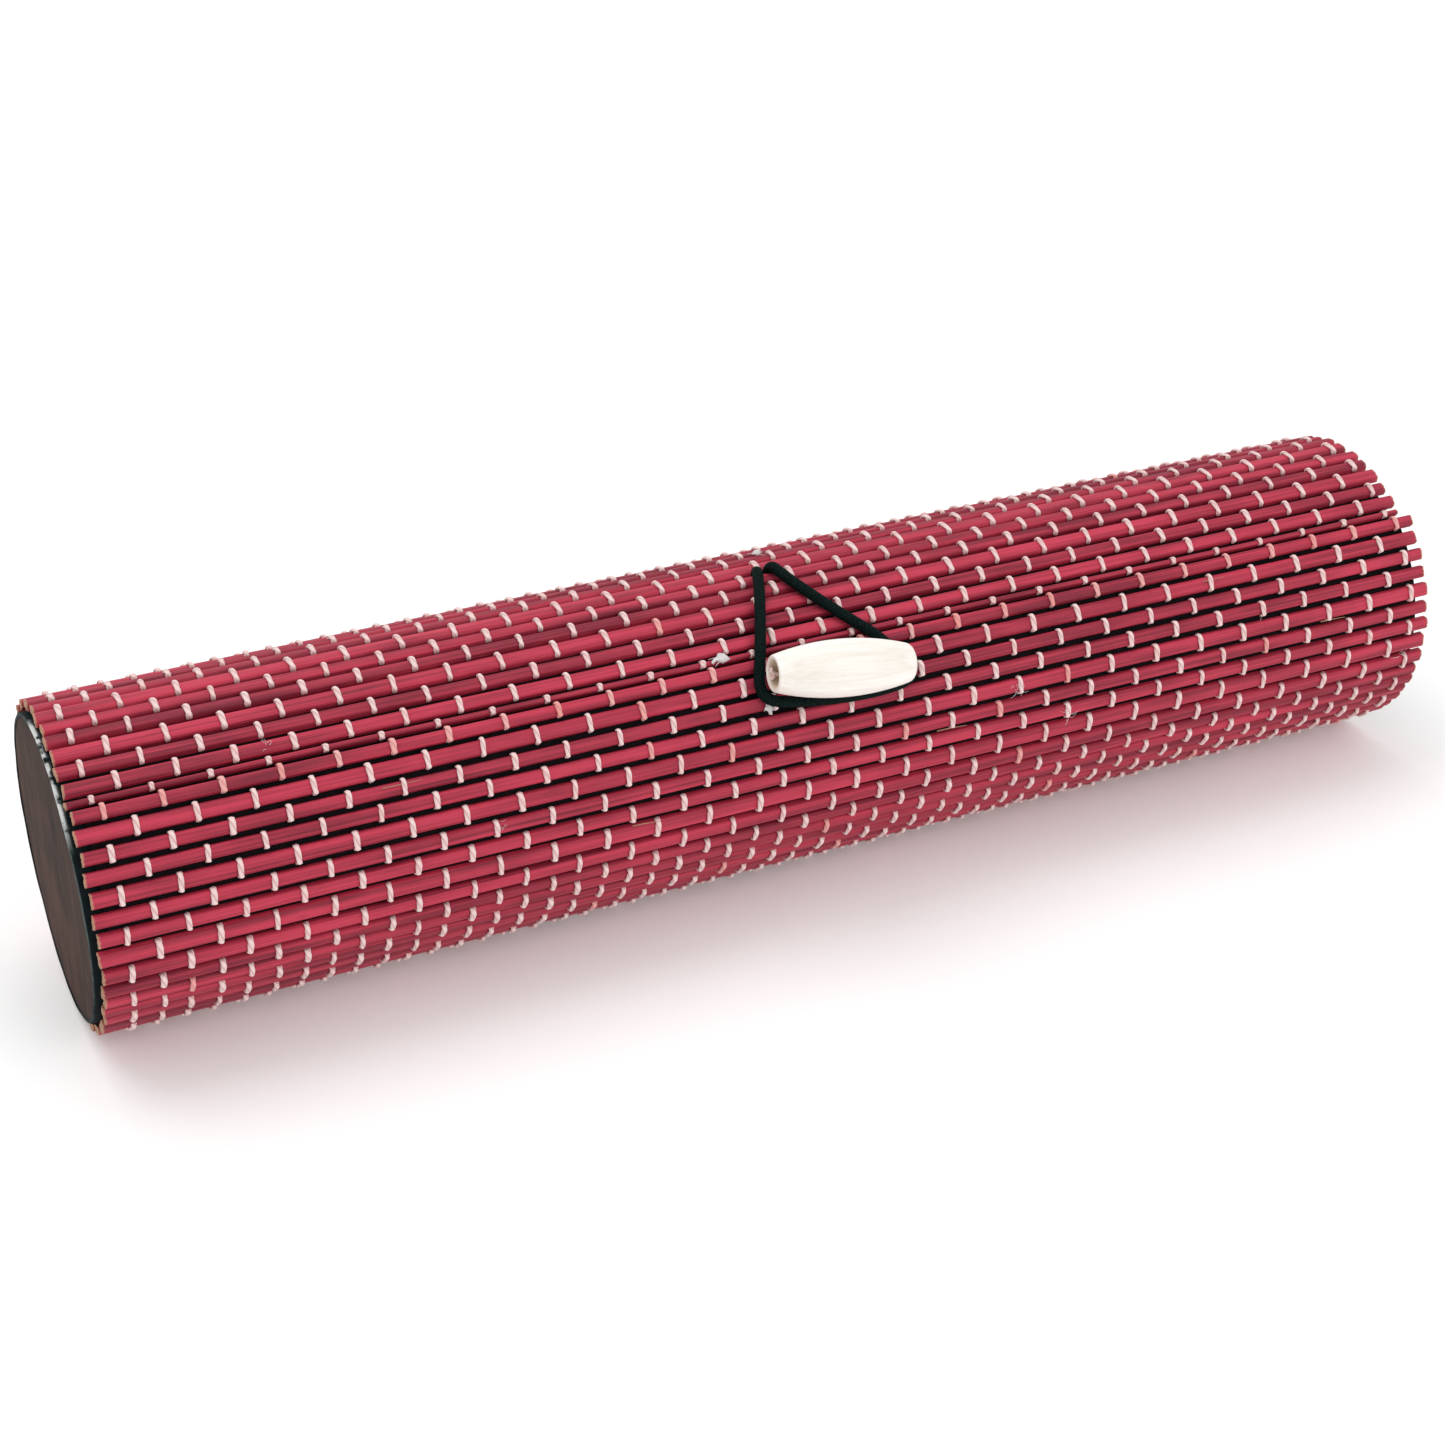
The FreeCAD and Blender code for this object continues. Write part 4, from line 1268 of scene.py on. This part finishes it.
class ROLLCASE_OT_fluff(RollCaseOperator, bpy.types.Operator):
    """Loose ends of cotton and a few lifted bamboo fibres"""
    bl_idname = "rollcase.fluff"
    bl_label = "Fluff"

    def execute(self, context):
        # place along the case in mm, angle, spread in mm, number of fibres, width of a fibre in mm
        tufts = [
            (-17.8, 51.4, 1.8, 7, 0.16), (-11.3, 31.4, 1.2, 6, 0.16), (39.3, 17.3, 2.0, 9, 0.08),
            (50.7, 3.0, 2.2, 8, 0.08), (129.2, -6.2, 2.4, 4, 0.09), (96.0, 24.5, 1.4, 6, 0.07),
            (-64.0, 12.0, 1.4, 6, 0.07), (-101.0, 57.0, 1.4, 6, 0.07), (1.6, 102.0, 1.8, 5, 0.16),
        ]
        random = np.random.default_rng(5)
        for number, (x, angle, spread, count, width) in enumerate(tufts):
            on_flap = angle > SEAM_ANGLE
            points, faces = [], []
            for _ in range(count):
                self.fibre(random, (x, angle), spread * MM, width * MM, points, faces)
            piece = mesh_object(f"fluff_{number}", points, faces, finish_named("loose_cotton"))
            vertex_values(piece, "thread_turn", [0.0] * len(points))
            link = FLAP_LINKS[self.link_at(angle)] if on_flap else "case"
            settle(piece, link, "cotton_thread")
        # place along the case and angle, then length, width and height of a wad in mm
        wads = [(-17.6, 51.6, 4.0, 1.9, 1.5), (-11.2, 31.2, 1.9, 2.5, 1.2), (1.8, 102.5, 2.6, 1.2, 1.0)]
        for number, (x, angle, long, wide, high) in enumerate(wads):
            self.wad(random, number, (x, angle), Vector((long, wide, high)) * MM / 2)
        self.splinters()
        return {"FINISHED"}

    def wad(self, random, number, place, size):
        """One lump of loose cotton: a flattened round form, pulled to a point at both ends."""
        x, angle = place
        rows, sides = FLUFF_WAD_ROWS, FLUFF_WAD_SIDES
        points = []
        for row in range(rows):
            share = -1 + 2 * (row + 0.5) / rows
            girth = (1 - abs(share) ** 1.3) ** 0.8 * (1.0 + 0.45 * math.sin(4.1 * share + number))
            for k in range(sides):
                turn = 2 * math.pi * k / sides
                reach = girth * random.uniform(0.62, 1.12)
                along = share * size.x + random.normal() * 0.05 * size.x
                across, out = reach * size.y * math.cos(turn), reach * size.z * math.sin(turn)
                points.append(on_case(x * MM + along, angle, MAT_RADIUS + 0.35 * MM + out)
                              + upward_round(angle) * (across - 0.35 * along * share))
        faces = ring_faces(rows, sides)
        faces.append(tuple(reversed(range(sides))))
        faces.append(tuple(range((rows - 1) * sides, rows * sides)))
        piece = mesh_object(f"cotton_wad_{number}", points, faces, finish_named("loose_cotton"))
        vertex_values(piece, "thread_turn", [0.0] * len(points))
        vertex_values(piece, "thread_run", [3.0 * (i // sides) for i in range(len(points))])
        facing_out(piece)
        link = FLAP_LINKS[self.link_at(angle)] if angle > SEAM_ANGLE else "case"
        settle(piece, link, "cotton_thread")

    def link_at(self, angle):
        """Which link carries the slat at an angle, counted from the flap's root."""
        gaps = [abs(slat.angle - angle) for slat in flap_slats()]
        return gaps.index(min(gaps))

    def fibre(self, random, place, spread, width, points, faces):
        """Adds one short bent fibre, three-sided and closed, that starts at a place on the mat."""
        x, angle = place
        foot = x * MM + random.normal() * spread * 0.3
        start = on_case(foot, angle + random.normal() * 1.0, MAT_RADIUS + 0.15 * MM)
        along = Vector((random.normal(0.3, 1.0), 0, 0)) + upward_round(angle) * random.normal() * 0.3
        along = along.normalized() * spread * random.uniform(0.3, 1.0)
        lift = outward(angle) * spread * random.uniform(0.08, 0.34)
        side = Vector((random.normal(), 0, 0)) + upward_round(angle) * random.normal()
        path = [start, start + along * 0.35 + lift, start + along * 0.8 + lift * 0.8 + side * spread * 0.12,
                start + along + lift * 0.15 + side * spread * 0.25]
        first = len(points)
        for i, centre in enumerate(path):
            ahead = (path[min(i + 1, 3)] - path[max(i - 1, 0)]).normalized()
            across = ahead.cross(outward(angle)).normalized()
            over = across.cross(ahead)
            size = width / 2 * (1.0 - 0.2 * i)
            for k in range(3):
                turn = 2 * math.pi * k / 3
                points.append(centre + across * (size * math.cos(turn)) + over * (size * math.sin(turn)))
        faces.extend(needle_faces(first))

    def splinters(self):
        """Long fibres of bamboo that have lifted from a slat's edge."""
        # place along the case in mm, angle and length in mm
        places = [
            (109.0, 15.7, 5.5), (-84.0, 33.5, 7.0), (22.0, 8.9, 6.0), (84.0, 40.5, 4.5), (-40.0, 0.6, 5.0),
        ]
        points, faces = [], []
        for x, angle, length in places:
            first = len(points)
            for i, share in enumerate((0.0, 0.35, 0.75, 1.0)):
                lifted = MAT_RADIUS + (0.05 + 0.55 * share ** 2) * MM
                centre = on_case(x * MM + share * length * MM, angle, lifted)
                size = 0.14 * MM * (1.0 - 0.6 * share)
                for k in range(3):
                    turn = 2 * math.pi * k / 3
                    offset = upward_round(angle) * math.cos(turn) + outward(angle) * math.sin(turn)
                    points.append(centre + offset * size)
            faces.extend(needle_faces(first))
        piece = mesh_object("splinters", points, faces, finish_named("dyed_bamboo"))
        vertex_values(piece, "cut", [0.85] * len(points))
        vertex_values(piece, "grain", points, "FLOAT_VECTOR")
        facing_out(piece)
        settle(piece, "case", "dyed_bamboo")


class ROLLCASE_OT_stage(RollCaseOperator, bpy.types.Operator):
    """Floor, studio light and camera"""
    bl_idname = "rollcase.stage"
    bl_label = "Stage"

    def execute(self, context):
        reach = 3.0
        level = base_low.z - 0.12 * MM
        corners = [(x * reach, y * reach, level) for x, y in ((-1, -1), (1, -1), (1, 1), (-1, 1))]
        floor = mesh_object("floor", corners, [(0, 1, 2, 3)], finish_named("floor"), smooth=False)
        self.lights(context)
        self.camera(context)
        context.scene.view_settings.view_transform = "Standard"
        return {"FINISHED"}

    def lights(self, context):
        world = bpy.data.worlds.new("studio")
        world.use_nodes = True
        world.node_tree.nodes["Background"].inputs["Color"].default_value = (1.0, 1.0, 1.0, 1.0)
        world.node_tree.nodes["Background"].inputs["Strength"].default_value = 0.76
        context.scene.world = world
        lamps = [
            ("overhead", (-0.25, 0.35, 1.1), (0.0, 0.0, 0.03), 1.0, 5.0),
            ("front_fill", (0.5, -1.1, 0.7), (0.0, 0.0, 0.03), 0.9, 4.2),
        ]
        for name, place, aim, size, power in lamps:
            lamp = bpy.data.lights.new(name, "AREA")
            lamp.shape = "DISK"
            lamp.size = size
            lamp.energy = power
            holder = link_object(name, lamp)
            direction = Vector(aim) - Vector(place)
            holder.rotation_euler = direction.to_track_quat("-Z", "Y").to_euler()
            holder.location = place

    def camera(self, context):
        data = bpy.data.cameras.new("camera")
        data.sensor_width = 36.0
        data.lens = 64.55
        data.clip_start = 0.01
        data.clip_end = 20.0
        holder = link_object("camera", data)
        holder.location = (-0.19046, -0.39237, 0.27583)
        yaw, pitch = math.radians(24.9), math.radians(-29.77)
        holder.rotation_euler = (math.pi / 2 + pitch, 0.0, -yaw)
        context.scene.camera = holder


class ROLLCASE_PT_panel(bpy.types.Panel):
    bl_idname = "ROLLCASE_PT_panel"
    bl_label = "Roll case"
    bl_space_type = "VIEW_3D"
    bl_region_type = "UI"
    bl_category = "Roll case"

    def draw(self, context):
        values = context.scene.roll_case
        for name in values.bl_rna.properties.keys():
            if name not in ("rna_type", "name"):
                self.layout.prop(values, name)
        for operator in OPERATORS:
            self.layout.operator(operator.bl_idname)


OPERATORS = (
    ROLLCASE_OT_stage,
    ROLLCASE_OT_slats,
    ROLLCASE_OT_stitches,
    ROLLCASE_OT_lining,
    ROLLCASE_OT_ends,
    ROLLCASE_OT_bead,
    ROLLCASE_OT_loop,
    ROLLCASE_OT_fluff,
)
CLASSES = (RollCaseSettings, *OPERATORS, ROLLCASE_PT_panel)


def register():
    for cls in CLASSES:
        bpy.utils.register_class(cls)
    bpy.types.Scene.roll_case = PointerProperty(type=RollCaseSettings)


def unregister():
    del bpy.types.Scene.roll_case
    for cls in reversed(CLASSES):
        bpy.utils.unregister_class(cls)


def main():
    """Builds the whole case."""
    register()
    bpy.ops.rollcase.stage()
    bpy.ops.rollcase.slats()
    bpy.ops.rollcase.stitches()
    bpy.ops.rollcase.lining()
    bpy.ops.rollcase.ends()
    bpy.ops.rollcase.bead()
    bpy.ops.rollcase.loop()
    bpy.ops.rollcase.fluff()


if __name__ == "__main__":
    main()
